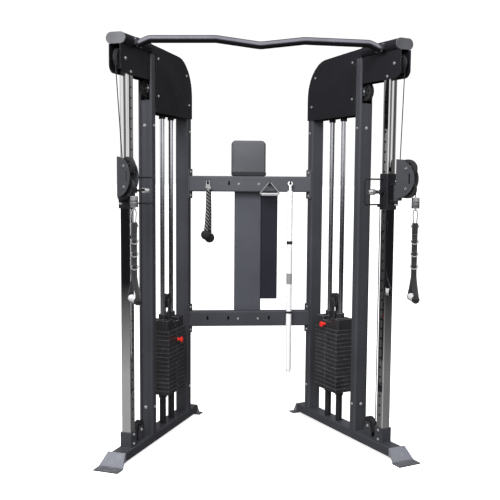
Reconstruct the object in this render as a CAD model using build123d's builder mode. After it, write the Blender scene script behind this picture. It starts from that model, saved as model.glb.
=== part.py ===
from build123d import *
from math import acos, asin, atan2, cos, degrees, hypot, radians, sin, tan
import os

# Cable crossover machine: two towers turned outwards at the front, joined at the back by two
# crossbeams and at the front by a pull-up bar. Millimetres, +Z up, +X to the right, +Y to the back.
#
# A tower is modelled in its own frame: X runs along the base rail from front to back, Y points
# inwards to the user's side and Z is up, with the origin under the guide column. The right tower
# is that frame placed in the machine, and the left tower is its mirror image.

os.makedirs("parts", exist_ok=True)

# ---- driving dimensions ---------------------------------------------------------------------
TOWER_X = 655.0            # guide column to the middle of the machine
TOWER_Y = -324.06          # guide column in front of the middle of the footprint
TOWER_TURN = 23.5          # each rail turns outwards by this many degrees

RAIL_FRONT, RAIL_REAR = -100.0, 795.0
RAIL_WIDTH = 80.0
RAIL_BOTTOM, RAIL_TOP = 26.0, 74.0
FOOT_PLATE = 6.0
TUBE_WALL = 3.0

UPRIGHT_WIDTH, UPRIGHT_DEPTH, UPRIGHT_RADIUS = 80.0, 50.0, 11.0
FRONT_UPRIGHT, REAR_UPRIGHT = 221.0, 683.0
REAR_UPRIGHT_TOP = 1878.0
HANGER_FRONT = FRONT_UPRIGHT + UPRIGHT_DEPTH / 2
HANGER_INSIDE, HANGER_PLATE = 16.0, 4.0           # plates each side of the shroud's pulleys

COLUMN_SIDE, COLUMN_RADIUS, COLUMN_TOP = 50.0, 5.0, 1944.0
HOLE_PITCH, FIRST_HOLE, HOLE_COUNT, HOLE_RADIUS = 50.0, 216.0, 34, 6.0
SOCKET_SIDE, SOCKET_TOP = 60.0, 150.0

ARM_WIDTH, ARM_HEIGHT, ARM_Z = 102.0, 54.0, 2087.0
ARM_FRONT, ARM_REAR = -100.0, 190.0
BRACKET_FRONT, BRACKET_BOTTOM = -115.0, 1925.0
BRACKET_INSIDE, BRACKET_PLATE = 27.0, 4.0

SHROUD_PLATE = 3.0
SHROUD_BOTTOM = 1766.0
SHROUD_FRONT, SHROUD_REAR = 240.0, 708.0
CARRIER_Z = 1780.0

CABLE_RADIUS = 2.5
PULLEY_RIM, PULLEY_CABLE, PULLEY_WIDTH = 48.0, 44.0, 20.0
AXLE_RADIUS = 5.0
RUNNING_GAP = 0.06

ROD_PLACES = (402.0, 512.0)
ROD_RADIUS = 12.5
STACK_MIDDLE = 457.0
STACK_BOTTOM, PLATE_PITCH, PLATE_COUNT = 245.0, 23.6, 15
PLATE_LENGTH, PLATE_WIDTH, PLATE_GAP = 216.0, 124.0, 0.6
STACK_TOP = STACK_BOTTOM + PLATE_COUNT * PLATE_PITCH
HEAD_TOP = STACK_TOP + 86.0
STEM_RADIUS, PIN_RADIUS, LANYARD_RADIUS = 11.0, 4.8, 1.5

FLOAT_Z, FLOAT_RIM, FLOAT_CABLE = 752.0, 40.0, 37.0
FRONT_LIFT_LINE = STACK_MIDDLE - FLOAT_CABLE
REAR_LIFT_LINE = STACK_MIDDLE + FLOAT_CABLE
LOW_PULLEY_Z, HIGH_PULLEY_Z = 1885.0, 1996.0
TOP_PULLEY_X = -66.0
UPRIGHT_PULLEY_X = 196.0
SHROUD_FRONT_PULLEY_X = FRONT_LIFT_LINE - PULLEY_CABLE
SHROUD_REAR_PULLEY_X = REAR_LIFT_LINE - PULLEY_CABLE
DOWN_LINE_X = UPRIGHT_PULLEY_X - PULLEY_CABLE
BASE_PULLEY_X, BASE_PULLEY_Z = DOWN_LINE_X - PULLEY_CABLE, 128.0
ANCHOR_LINE_X = BASE_PULLEY_X - PULLEY_CABLE

SLEEVE_SIDE, SLEEVE_BOTTOM, SLEEVE_TOP = 64.0, 1277.0, 1458.0
SLEEVE_BORE = COLUMN_SIDE + 1.0
CARRIAGE_Z = 1366.0
ANCHOR_Z = 1300.0
SWIVEL_X = -65.0
SWIVEL_PIN_RADIUS, LUG_HALF = 6.0, 11.0
LOWER_LUG_Z, UPPER_LUG_Z, LUG_PLATE = 1315.0, 1400.0, 8.0

CHEEK_RADIUS, CHEEK_START, CHEEK_Z = 97.0, 8.0, 1432.0
CHEEK_PLATE, CHEEK_INSIDE = 3.0, 25.0
CABLE_ENTRY = 16.0                                # the cable comes down this far past the pin
EXIT_RIM, EXIT_CABLE, EXIT_SPACING = 46.0, 43.5, 100.0
EXIT_REACH = CABLE_ENTRY + EXIT_CABLE
SWIVEL_TURN = {"left": 66.0, "right": -28.0}      # degrees, inwards positive, 0 straight forward

STOPPER_TOP, STOPPER_BOTTOM, STOPPER_RADIUS = 1341.0, 1287.0, 19.5
HANG_LINE = EXIT_REACH + EXIT_CABLE
RING_Z = 1205.0
RING_PLACES = (1131.0, 1069.0, 1007.0)
STRAP_WIDTH, STRAP_THICK = 29.0, 3.0
STRAP_JOIN, GRIP_Z = 958.0, 842.0
GRIP_LENGTH, GRIP_RADIUS, GRIP_BORE = 118.0, 18.0, 15.4
GRIP_TURN = {"left": 110.0, "right": 86.0}        # heading of the grip, degrees from +X

BEAM_Y, BEAM_DEPTH, BEAM_HEIGHT, BEAM_RADIUS = TOWER_Y + 615.0, 50.0, 90.0, 9.0
UPPER_BEAM_Z, LOWER_BEAM_Z = 1400.0, 618.0
BEAM_FRONT = BEAM_Y - BEAM_DEPTH / 2
BEAM_END_PLATE = 6.0
HOOK_PLACES = (-243.0, -122.0, 115.0, 229.0)
ROPE_X, TRIANGLE_X, BAR_X = -243.0, 111.0, 229.0
HOOK_RADIUS, HOOK_REACH = 4.0, 26.0
ACCESSORY_Y = BEAM_FRONT - 22.0

BAR_Y, BAR_RADIUS = TOWER_Y, 19.0

# ---- placing and saving ---------------------------------------------------------------------
turn = radians(TOWER_TURN)
tower_place = Plane(origin=(TOWER_X, TOWER_Y, 0), x_dir=(-sin(turn), cos(turn), 0), z_dir=(0, 0, 1))


def save(piece, name):
    piece.label = name
    export_step(piece, f"parts/{name}.step")


def in_machine(piece, side):
    """A piece of a tower's own frame, as it stands in the left or the right tower."""
    placed = tower_place * piece
    return placed if side == "right" else mirror(placed, about=Plane.YZ)


def machine_point(point, side):
    """A point of a tower's own frame, as it lies in the left or the right tower."""
    placed = tower_place.from_local_coords(point)
    return placed if side == "right" else Vector(-placed.X, placed.Y, placed.Z)


def save_both(piece, name):
    """The same piece of both towers, as two solids of one node."""
    with BuildPart() as both:
        add(in_machine(piece, "left"))
        add(in_machine(piece, "right"))
    save(both.part, name)


def save_each(piece, name):
    """The same piece of both towers, as one node for each side."""
    for side in ("left", "right"):
        save(in_machine(piece, side), f"{name}_{side}")


# ---- shapes that repeat ---------------------------------------------------------------------
def box_tube(plane, width, depth, radius, length, wall=TUBE_WALL):
    with BuildPart() as tube:
        with BuildSketch(plane):
            RectangleRounded(width, depth, radius)
            RectangleRounded(width - 2 * wall, depth - 2 * wall, radius - wall, mode=Mode.SUBTRACT)
        extrude(amount=length)
    return tube.part


def pulley(x, z, rim, cable, windows=6):
    """A grooved pulley on an axle along Y, with round windows through its web."""
    groove = cable - CABLE_RADIUS - 0.3
    bore = AXLE_RADIUS + RUNNING_GAP
    half = PULLEY_WIDTH / 2
    middle = Plane(origin=(x, 0, z), x_dir=(1, 0, 0), z_dir=(0, 0, 1))
    with BuildPart() as wheel:
        with BuildSketch(middle):
            with BuildLine():
                Polyline((bore, -half), (rim, -half), (rim, -half + 2.5), (groove, -3), (groove, 3),
                         (rim, half - 2.5), (rim, half), (bore, half), close=True)
            make_face()
        revolve(axis=Axis((x, 0, z), (0, 1, 0)))
        with BuildSketch(Plane(origin=(x, -half, z), x_dir=(1, 0, 0), z_dir=(0, 1, 0))):
            with PolarLocations(0.56 * groove, windows):
                Circle(0.17 * groove)
        extrude(amount=PULLEY_WIDTH, mode=Mode.SUBTRACT)
    return wheel.part


def axle(x, z, half_length, head=True):
    """An axle along Y at x, z, with a domed head on each end."""
    with BuildPart() as pin:
        with BuildSketch(Plane(origin=(x, -half_length, z), x_dir=(1, 0, 0), z_dir=(0, 1, 0))):
            Circle(AXLE_RADIUS)
        extrude(amount=2 * half_length)
        if head:
            for end in (-1, 1):
                add(dome(Plane(origin=(x, end * half_length, z), x_dir=(1, 0, 0), z_dir=(0, end, 0))))
    return pin.part


def dome(plane, radius=9.0, height=6.0):
    """A domed bolt head standing on the plane, with a round washer under it."""
    with BuildPart() as head:
        with BuildSketch(plane):
            Circle(radius)
        extrude(amount=1.5)
        with BuildSketch(plane.offset(1.5)):
            Circle(0.82 * radius)
        extrude(amount=height - 1.5)
        fillet(head.faces().sort_by(Axis(plane.origin, plane.z_dir))[-1].edges(), 0.7 * (height - 1.5))
    return head.part


def round_tube(points, radii, radius):
    """A round bar whose middle line is straight runs joined by arcs."""
    with BuildPart() as bar:
        with BuildLine():
            path = FilletPolyline(*points, radius=radii) if len(points) > 2 else Line(*points)
        with BuildSketch(Plane(origin=path @ 0, z_dir=path % 0)):
            Circle(radius)
        sweep(path=path)
    return bar.part


def straight_cable(start, end):
    return round_tube((start, end), None, CABLE_RADIUS)


def wrap(x, z, cable, start, end):
    """The cable round a pulley, from the start angle to the end angle, in degrees from +X."""
    with BuildPart() as turned:
        with BuildLine(Plane(origin=(x, 0, z), x_dir=(1, 0, 0), z_dir=(0, -1, 0))):
            path = CenterArc((0, 0), cable, start, end - start)
        with BuildSketch(Plane(origin=path @ 0, z_dir=path % 0)):
            Circle(CABLE_RADIUS)
        sweep(path=path)
    return turned.part


# ---- base rail, feet and column socket ------------------------------------------------------
with BuildPart() as base_rail:
    add(box_tube(Plane(origin=(RAIL_FRONT, 0, (RAIL_BOTTOM + RAIL_TOP) / 2), x_dir=(0, 1, 0),
                       z_dir=(1, 0, 0)),
                 RAIL_WIDTH, RAIL_TOP - RAIL_BOTTOM, 6.0, RAIL_REAR - RAIL_FRONT))
    with BuildSketch(Plane.XY.offset(RAIL_TOP)):
        Rectangle(SOCKET_SIDE, SOCKET_SIDE)
        Rectangle(COLUMN_SIDE + 0.6, COLUMN_SIDE + 0.6, mode=Mode.SUBTRACT)
    extrude(amount=SOCKET_TOP - RAIL_TOP)
    for side_y in (-18.0, 14.0):
        with BuildSketch(Plane.XZ.offset(-side_y)):
            with BuildLine():
                Polyline((76, RAIL_TOP - 1), (140, RAIL_TOP - 1), (140, 100), (124, 148), (92, 148),
                         (76, 100), close=True)
            make_face()
            with Locations((BASE_PULLEY_X, BASE_PULLEY_Z)):
                Circle(AXLE_RADIUS, mode=Mode.SUBTRACT)
        extrude(amount=-4.0)
save_both(base_rail.part, "base_rails")


def foot(top, fold, tip, toward):
    """A bent foot plate: a sloping face against the rail's end and a flat lip on the floor."""
    wide_top = (-58.0, 38.0)
    wide_low = (-92.0, 42.0)
    with BuildPart() as plate:
        with BuildSketch(Plane.XZ.offset(-wide_low[1])):
            with BuildLine():
                Polyline((top, RAIL_TOP - 2), (fold, FOOT_PLATE), (tip, FOOT_PLATE), (tip, 0), (fold, 0),
                         (fold - toward * 4, 0), (top - toward * 7, RAIL_TOP - 2), close=True)
            make_face()
        extrude(amount=wide_low[1] - wide_low[0])
        for low, high, far in ((wide_low[0], wide_top[0], -140.0), (wide_low[1], wide_top[1], 80.0)):
            with BuildSketch(Plane.YZ.offset(min(tip, top) - 20)):
                with BuildLine():
                    Polyline((low, FOOT_PLATE), (high, RAIL_TOP), (far, RAIL_TOP), (far, FOOT_PLATE),
                             close=True)
                make_face()
            extrude(amount=abs(tip - top) + 40, mode=Mode.SUBTRACT)
        with BuildSketch(Plane.XZ.offset(-RAIL_WIDTH / 2 + 1)):
            with BuildLine():
                Polyline((top - toward * 6, RAIL_TOP - 2), (fold - toward * 16, RAIL_BOTTOM),
                         (top - toward * 8, RAIL_BOTTOM), close=True)
            make_face()
        extrude(amount=RAIL_WIDTH - 2)
    return plate.part


with BuildPart() as floor_feet:
    for foot_side in ("left", "right"):
        add(in_machine(foot(RAIL_FRONT - 8, -142.0, -195.0, -1), foot_side))
        add(in_machine(foot(RAIL_REAR + 8, 836.0, 880.0, 1), foot_side))
save(floor_feet.part, "floor_feet")

# ---- uprights, column and top arm -----------------------------------------------------------
with BuildPart() as front_upright:
    add(box_tube(Plane(origin=(FRONT_UPRIGHT, 0, RAIL_TOP), x_dir=(1, 0, 0), z_dir=(0, 0, 1)),
                 UPRIGHT_DEPTH, UPRIGHT_WIDTH, UPRIGHT_RADIUS, ARM_Z - ARM_HEIGHT / 2 - RAIL_TOP))
    with BuildSketch(Plane(origin=(FRONT_UPRIGHT, 0, LOW_PULLEY_Z - 60))):
        Rectangle(UPRIGHT_DEPTH + 2, 30)
    extrude(amount=400, mode=Mode.SUBTRACT)
    with BuildSketch(Plane(origin=(FRONT_UPRIGHT - UPRIGHT_DEPTH / 2, 0, LOW_PULLEY_Z - 60))):
        Rectangle(20, 56)
    extrude(amount=118, mode=Mode.SUBTRACT)
    for side_y in (-HANGER_INSIDE - HANGER_PLATE, HANGER_INSIDE):
        with BuildSketch(Plane.XZ.offset(-side_y)):
            with Locations((FRONT_UPRIGHT - 4, LOW_PULLEY_Z)):
                Rectangle(54, 44)
            with Locations((UPRIGHT_PULLEY_X, LOW_PULLEY_Z)):
                Circle(AXLE_RADIUS, mode=Mode.SUBTRACT)
        extrude(amount=-HANGER_PLATE)
save_both(front_upright.part, "front_uprights")

with BuildPart() as pulley_hanger:
    for side_y in (-HANGER_INSIDE - HANGER_PLATE, HANGER_INSIDE):
        with BuildSketch(Plane.XZ.offset(-side_y)):
            with BuildLine():
                Polyline((HANGER_FRONT, 1838), (440, 1838), (510, 1930), (510, 2045), (HANGER_FRONT, 2045),
                         close=True)
            make_face()
            with Locations((SHROUD_FRONT_PULLEY_X, LOW_PULLEY_Z), (SHROUD_REAR_PULLEY_X, HIGH_PULLEY_Z)):
                Circle(AXLE_RADIUS, mode=Mode.SUBTRACT)
        extrude(amount=-HANGER_PLATE)
    for bridge_z in (1838.0, 1960.0):
        with BuildSketch(Plane.XY.offset(bridge_z)):
            with Locations((HANGER_FRONT + 16, 0)):
                Rectangle(20, 2 * HANGER_INSIDE)
        extrude(amount=12)
save_both(pulley_hanger.part, "pulley_hangers")

save_both(box_tube(Plane(origin=(REAR_UPRIGHT, 0, RAIL_TOP)), UPRIGHT_DEPTH, UPRIGHT_WIDTH,
                   UPRIGHT_RADIUS, REAR_UPRIGHT_TOP - RAIL_TOP), "rear_uprights")

with BuildPart() as guide_column:
    add(box_tube(Plane.XY.offset(RAIL_TOP), COLUMN_SIDE, COLUMN_SIDE, COLUMN_RADIUS,
                 COLUMN_TOP - RAIL_TOP))
    with BuildSketch(Plane.XZ.offset(-COLUMN_SIDE / 2 - 1)):
        with Locations(*[(0, FIRST_HOLE + index * HOLE_PITCH) for index in range(HOLE_COUNT)]):
            Circle(HOLE_RADIUS)
    extrude(amount=TUBE_WALL + 2, mode=Mode.SUBTRACT)
save_both(guide_column.part, "guide_columns")

with BuildPart() as top_arm:
    with BuildSketch(Plane(origin=(ARM_FRONT, 0, ARM_Z), x_dir=(0, 1, 0), z_dir=(1, 0, 0))):
        SlotOverall(ARM_WIDTH, ARM_HEIGHT)
        SlotOverall(ARM_WIDTH - 2 * TUBE_WALL, ARM_HEIGHT - 2 * TUBE_WALL, mode=Mode.SUBTRACT)
    extrude(amount=ARM_REAR - ARM_FRONT)
    for side_y in (-BRACKET_INSIDE - BRACKET_PLATE, BRACKET_INSIDE):
        with BuildSketch(Plane.XZ.offset(-side_y)):
            with BuildLine():
                Polyline((ARM_REAR + 5.5, BRACKET_BOTTOM), (BRACKET_FRONT + 38, BRACKET_BOTTOM))
                RadiusArc((BRACKET_FRONT + 38, BRACKET_BOTTOM), (BRACKET_FRONT, BRACKET_BOTTOM + 38), 38)
                Polyline((BRACKET_FRONT, BRACKET_BOTTOM + 38), (BRACKET_FRONT, 2058), (ARM_FRONT + 1, 2058),
                         (ARM_FRONT + 1, 2061.5), (ARM_REAR, 2061.5), (ARM_REAR, 2059),
                         (ARM_REAR + 5.5, 2059), (ARM_REAR + 5.5, BRACKET_BOTTOM))
            make_face()
            with Locations((TOP_PULLEY_X, HIGH_PULLEY_Z)):
                Circle(AXLE_RADIUS, mode=Mode.SUBTRACT)
        extrude(amount=-BRACKET_PLATE)
save_both(top_arm.part, "top_arms")

with BuildPart() as arm_end_cap:
    with BuildSketch(Plane(origin=(ARM_FRONT, 0, ARM_Z), x_dir=(0, 1, 0), z_dir=(-1, 0, 0))):
        SlotOverall(ARM_WIDTH + 2, ARM_HEIGHT + 2)
    extrude(amount=6)
    fillet(arm_end_cap.edges().group_by(Axis.X)[0], 2.0)
save_both(arm_end_cap.part, "arm_end_caps")

# ---- shroud over the upper pulleys ----------------------------------------------------------
def shroud_outline():
    """Outer edge of a shroud plate, from its front top corner back and down to the rear bottom."""
    Polyline((ARM_REAR + 0.5, 2060), (ARM_REAR + 0.5, 2104), (330, 2099), (520, 2091))
    Spline((520, 2091), (640, 2042), (SHROUD_REAR, 1880),
           tangents=((190, -8), (0, -1)))
    Polyline((SHROUD_REAR, 1880), (SHROUD_REAR, SHROUD_BOTTOM))


with BuildPart() as shroud:
    for side_y in (-UPRIGHT_WIDTH / 2 - SHROUD_PLATE, UPRIGHT_WIDTH / 2):
        with BuildSketch(Plane.XZ.offset(-side_y)):
            with BuildLine():
                shroud_outline()
                Polyline((SHROUD_REAR, SHROUD_BOTTOM), (SHROUD_FRONT, SHROUD_BOTTOM),
                         (SHROUD_FRONT, 2060), (ARM_REAR + 0.5, 2060))
            make_face()
        extrude(amount=-SHROUD_PLATE)
    with BuildSketch(Plane.XZ.offset(UPRIGHT_WIDTH / 2)):
        with BuildLine():
            Polyline((ARM_REAR + 0.5, 2104), (330, 2099), (520, 2091))
            Spline((520, 2091), (640, 2042), (SHROUD_REAR, 1880), tangents=((190, -8), (0, -1)))
            Polyline((SHROUD_REAR, 1880), (SHROUD_REAR - 3, 1880))
            Spline((SHROUD_REAR - 3, 1880), (637.5, 2039.5), (520, 2088), tangents=((0, 1), (-190, 8)))
            Polyline((520, 2088), (330, 2096), (ARM_REAR + 0.5, 2101), (ARM_REAR + 0.5, 2104))
        make_face()
    extrude(amount=-UPRIGHT_WIDTH)
    with BuildSketch(Plane.XY.offset(CARRIER_Z)):
        with Locations(((FRONT_UPRIGHT + REAR_UPRIGHT) / 2, 0)):
            Rectangle(REAR_UPRIGHT - FRONT_UPRIGHT - UPRIGHT_DEPTH, UPRIGHT_WIDTH)
        with Locations(*[(line, 0) for line in (FRONT_LIFT_LINE, REAR_LIFT_LINE)]):
            Circle(5.0, mode=Mode.SUBTRACT)
        with Locations(*[(place, 0) for place in ROD_PLACES]):
            Circle(ROD_RADIUS + 0.1, mode=Mode.SUBTRACT)
    extrude(amount=6)
    for place in ROD_PLACES:
        with BuildSketch(Plane(origin=(place, 0, CARRIER_Z - 34))):
            Circle(18)
            Circle(ROD_RADIUS + 0.1, mode=Mode.SUBTRACT)
            with Locations(((FRONT_LIFT_LINE if place < STACK_MIDDLE else REAR_LIFT_LINE) - place, 0)):
                Circle(5.0, mode=Mode.SUBTRACT)
        extrude(amount=34)
save_both(shroud.part, "shroud_panels")

# ---- guide rods, stands, bumpers and weight plates ------------------------------------------
def at_rods(bottom, top, outer, inner=None):
    with BuildPart() as rings:
        with BuildSketch(Plane.XY.offset(bottom)):
            with Locations(*[(place, 0) for place in ROD_PLACES]):
                Circle(outer)
                if inner:
                    Circle(inner, mode=Mode.SUBTRACT)
        extrude(amount=top - bottom)
    return rings.part


STAND_TOP = 221.0
save_both(at_rods(RAIL_TOP, CARRIER_Z + 22, ROD_RADIUS), "guide_rods")
save_both(at_rods(RAIL_TOP, STAND_TOP, 18.0, ROD_RADIUS + 0.2), "stack_stands")
save_both(at_rods(STAND_TOP, STACK_BOTTOM, 23.0, ROD_RADIUS + 0.2), "stack_bumpers")


def weight_plate(index):
    """One plate, counted from the bottom of the stack, with its rod, stem and pin holes."""
    bottom = STACK_BOTTOM + index * PLATE_PITCH
    thick = PLATE_PITCH - PLATE_GAP
    with BuildPart() as slab:
        with BuildSketch(Plane(origin=(STACK_MIDDLE, 0, bottom))):
            RectangleRounded(PLATE_LENGTH, PLATE_WIDTH, 4)
        extrude(amount=thick)
        chamfer(slab.faces().sort_by(Axis.Z)[-1].edges() + slab.faces().sort_by(Axis.Z)[0].edges(), 1.6)
        with BuildSketch(Plane(origin=(0, 0, bottom))):
            with Locations(*[(place, 0) for place in ROD_PLACES]):
                Circle(ROD_RADIUS + 1)
            with Locations((STACK_MIDDLE, 0)):
                Circle(STEM_RADIUS + 1.5)
        extrude(amount=thick, mode=Mode.SUBTRACT)
        with BuildSketch(Plane(origin=(STACK_MIDDLE, PLATE_WIDTH / 2 + 1, bottom + thick / 2),
                               x_dir=(1, 0, 0), z_dir=(0, -1, 0))):
            Circle(PIN_RADIUS + 0.7)
        extrude(amount=PLATE_WIDTH / 2, mode=Mode.SUBTRACT)
    return slab.part


def plate_middle(index):
    return STACK_BOTTOM + index * PLATE_PITCH + (PLATE_PITCH - PLATE_GAP) / 2


LIFTED = {"left": 3, "right": 0}                  # plates above the pin, lifted with the head
HEAD_PIN_Z = STACK_TOP + 21.0
PIN_Z = {"left": plate_middle(PLATE_COUNT - LIFTED["left"]), "right": HEAD_PIN_Z}

plates = [weight_plate(index) for index in range(PLATE_COUNT)]
with BuildPart() as resting_plates:
    for stack_side in ("left", "right"):
        for resting in plates[:PLATE_COUNT - LIFTED[stack_side]]:
            add(in_machine(resting, stack_side))
save(resting_plates.part, "weight_plates")

with BuildPart() as stack_head:
    with BuildSketch(Plane(origin=(STACK_MIDDLE, 0, STACK_TOP))):
        RectangleRounded(PLATE_LENGTH, 104, 6)
    extrude(amount=58)
    with BuildSketch(Plane.XZ.offset(-60)):
        with Locations((STACK_MIDDLE, STACK_TOP + 66)):
            Rectangle(76, 56)
    extrude(amount=120, mode=Mode.SUBTRACT)
    with BuildSketch(Plane.XY.offset(STACK_TOP + 40)):
        with Locations(*[(place, 0) for place in ROD_PLACES]):
            Circle(22)
    extrude(amount=HEAD_TOP - STACK_TOP - 40)
    with BuildSketch(Plane.XY.offset(STACK_TOP - 1)):
        with Locations(*[(place, 0) for place in ROD_PLACES]):
            Circle(ROD_RADIUS + 1)
    extrude(amount=200, mode=Mode.SUBTRACT)
    with BuildSketch(Plane(origin=(STACK_MIDDLE, 0, STACK_BOTTOM + 4))):
        Circle(STEM_RADIUS)
    extrude(amount=STACK_TOP + 80 - STACK_BOTTOM)
    for side_y in (-16.0, 12.0):
        with BuildSketch(Plane.XZ.offset(-side_y)):
            with BuildLine():
                Polyline((STACK_MIDDLE - 15, STACK_TOP + 30), (STACK_MIDDLE + 15, STACK_TOP + 30))
                Polyline((STACK_MIDDLE + 15, STACK_TOP + 30), (STACK_MIDDLE + 15, FLOAT_Z))
                RadiusArc((STACK_MIDDLE + 15, FLOAT_Z), (STACK_MIDDLE - 15, FLOAT_Z), -15)
                Line((STACK_MIDDLE - 15, FLOAT_Z), (STACK_MIDDLE - 15, STACK_TOP + 30))
            make_face()
        extrude(amount=-4.0)
    with BuildSketch(Plane(origin=(STACK_MIDDLE, 0, STACK_TOP + 62))):
        Rectangle(30, 32)
    extrude(amount=26)
    add(axle(STACK_MIDDLE, FLOAT_Z, 16.5, head=False))
    for index in range(PLATE_COUNT):
        with BuildSketch(Plane(origin=(STACK_MIDDLE, STEM_RADIUS + 2, plate_middle(index)),
                               x_dir=(1, 0, 0), z_dir=(0, -1, 0))):
            Circle(PIN_RADIUS + 0.7)
        extrude(amount=2 * STEM_RADIUS + 4, mode=Mode.SUBTRACT)
    with BuildSketch(Plane(origin=(STACK_MIDDLE, 60, HEAD_PIN_Z), x_dir=(1, 0, 0), z_dir=(0, -1, 0))):
        Circle(PIN_RADIUS + 0.7)
    extrude(amount=74, mode=Mode.SUBTRACT)
under_float = wrap(STACK_MIDDLE, FLOAT_Z, FLOAT_CABLE, 180, 360)

for stack_side in ("left", "right"):
    with BuildPart() as lifted_stack:
        add(in_machine(stack_head.part, stack_side))
        add(in_machine(under_float, stack_side))
        for lifted in plates[PLATE_COUNT - LIFTED[stack_side]:]:
            add(in_machine(lifted, stack_side))
    save(lifted_stack.part, f"stack_head_{stack_side}")

# ---- selector pins and their lanyards -------------------------------------------------------
PIN_FACE = PLATE_WIDTH / 2
for stack_side in ("left", "right"):
    pin_z = PIN_Z[stack_side]
    pin_plane = Plane(origin=(STACK_MIDDLE, -10, pin_z), x_dir=(1, 0, 0), z_dir=(0, 1, 0))
    knob_profile = Plane(origin=(STACK_MIDDLE, -10, pin_z), x_dir=(1, 0, 0), z_dir=(0, 0, 1))
    with BuildPart() as knob:
        with BuildSketch(knob_profile):
            with BuildLine():
                Polyline((0, 73.5), (9, 73.5), (9, 84), (6.5, 88), (6.5, 92), (15, 96), (16, 101),
                         (13, 105), (0, 107), close=True)
            make_face()
        revolve(axis=Axis((STACK_MIDDLE, 0, pin_z), (0, 1, 0)))
    with BuildPart() as whole_pin:
        with BuildSketch(pin_plane):
            Circle(PIN_RADIUS)
        extrude(amount=PIN_FACE + 14)
        add(knob.part)
    save(in_machine(whole_pin.part, stack_side), f"selector_pin_{stack_side}")


def cord_tube(points, radius):
    """A cord through the points, with arcs as large as its runs allow."""
    runs = [hypot(*[b - a for a, b in zip(start, end)]) for start, end in zip(points, points[1:])]
    radii = []
    for index in range(1, len(points) - 1):
        before = Vector(*points[index]) - Vector(*points[index - 1])
        after = Vector(*points[index + 1]) - Vector(*points[index])
        half_turn = radians(before.get_angle(after)) / 2
        radii.append(0.45 * min(runs[index - 1], runs[index]) / tan(half_turn))
    print(f"cord of {2 * radius} mm, arcs of", [round(arc, 1) for arc in radii], "mm")
    return round_tube(points, radii, radius)


LANYARD_ROUTES = {
    "left": ((STACK_MIDDLE + 40, 54, STACK_TOP + 40), (STACK_MIDDLE + 39, 64, STACK_TOP + 22),
             (STACK_MIDDLE + 32, 76, STACK_TOP - 4), (STACK_MIDDLE + 20, 86, STACK_TOP - 28),
             (STACK_MIDDLE + 3, 92.5, PIN_Z["left"] + 17.5)),
    "right": ((STACK_MIDDLE + 40, 54, STACK_TOP + 40), (STACK_MIDDLE + 42, 70, STACK_TOP + 34),
              (STACK_MIDDLE + 44, 82, STACK_TOP + 12), (STACK_MIDDLE + 42, 87, STACK_TOP - 14),
              (STACK_MIDDLE + 28, 89, STACK_TOP - 32), (STACK_MIDDLE + 8, 90.5, STACK_TOP - 30),
              (STACK_MIDDLE + 1, 92.5, PIN_Z["right"] - 17.5)),
}
for stack_side, route in LANYARD_ROUTES.items():
    save(in_machine(cord_tube(route, LANYARD_RADIUS), stack_side), f"lanyard_{stack_side}")

# ---- carriage and its pop pin ---------------------------------------------------------------
with BuildPart() as carriage:
    with BuildSketch(Plane.XY.offset(SLEEVE_BOTTOM)):
        RectangleRounded(SLEEVE_SIDE, SLEEVE_SIDE, 7)
        RectangleRounded(SLEEVE_BORE, SLEEVE_BORE, 5.2, mode=Mode.SUBTRACT)
    extrude(amount=SLEEVE_TOP - SLEEVE_BOTTOM)
    for lug_z in (LOWER_LUG_Z, UPPER_LUG_Z):
        with BuildSketch(Plane.XY.offset(lug_z)):
            with BuildLine():
                Polyline((SWIVEL_X, LUG_HALF), (-SLEEVE_SIDE / 2 + 1, LUG_HALF),
                         (-SLEEVE_SIDE / 2 + 1, -LUG_HALF), (SWIVEL_X, -LUG_HALF))
                RadiusArc((SWIVEL_X, -LUG_HALF), (SWIVEL_X, LUG_HALF), LUG_HALF)
            make_face()
        extrude(amount=LUG_PLATE)
    with BuildSketch(Plane.XY.offset(LOWER_LUG_Z - 5)):
        with Locations((SWIVEL_X, 0)):
            Circle(SWIVEL_PIN_RADIUS)
    extrude(amount=UPPER_LUG_Z + LUG_PLATE - LOWER_LUG_Z + 10)
    for cap_z in (LOWER_LUG_Z - 8, UPPER_LUG_Z + LUG_PLATE):
        with BuildSketch(Plane.XY.offset(cap_z)):
            with Locations((SWIVEL_X, 0)):
                Circle(10)
        extrude(amount=8)
    with BuildSketch(Plane.XY.offset(ANCHOR_Z - 12)):
        with Locations((SLEEVE_SIDE / 2 + 20, 0)):
            Rectangle(42, 24)
    extrude(amount=12)
    with BuildSketch(Plane(origin=(0, SLEEVE_SIDE / 2 - 4, CARRIAGE_Z), x_dir=(1, 0, 0),
                           z_dir=(0, 1, 0))):
        Circle(13)
    extrude(amount=24)
    with BuildSketch(Plane(origin=(0, 0, CARRIAGE_Z), x_dir=(1, 0, 0), z_dir=(0, 1, 0))):
        Circle(HOLE_RADIUS - 0.2)
    extrude(amount=80, mode=Mode.SUBTRACT)
    add(round_tube(((0, 29, 1303), (0, 146, 1303), (0, 146, 1430), (0, 29, 1430)), 12, 4.0))
save_each(carriage.part, "carriage")

PIN_TIP = HOLE_RADIUS - 0.8
with BuildPart() as pop_pin:
    pop_plane = Plane(origin=(0, 0, CARRIAGE_Z), x_dir=(1, 0, 0), z_dir=(0, 0, 1))
    with BuildSketch(pop_plane):
        with BuildLine():
            Polyline((0, 26), (PIN_TIP - 1, 26), (PIN_TIP, 28), (PIN_TIP, 66), (9, 66), (9, 78),
                     (12, 82), (15, 88), (15, 106), (12, 118), (8, 123), (0, 123), close=True)
        make_face()
    revolve(axis=Axis((0, 0, CARRIAGE_Z), (0, 1, 0)))
save_each(pop_pin.part, "pop_pin")

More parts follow.
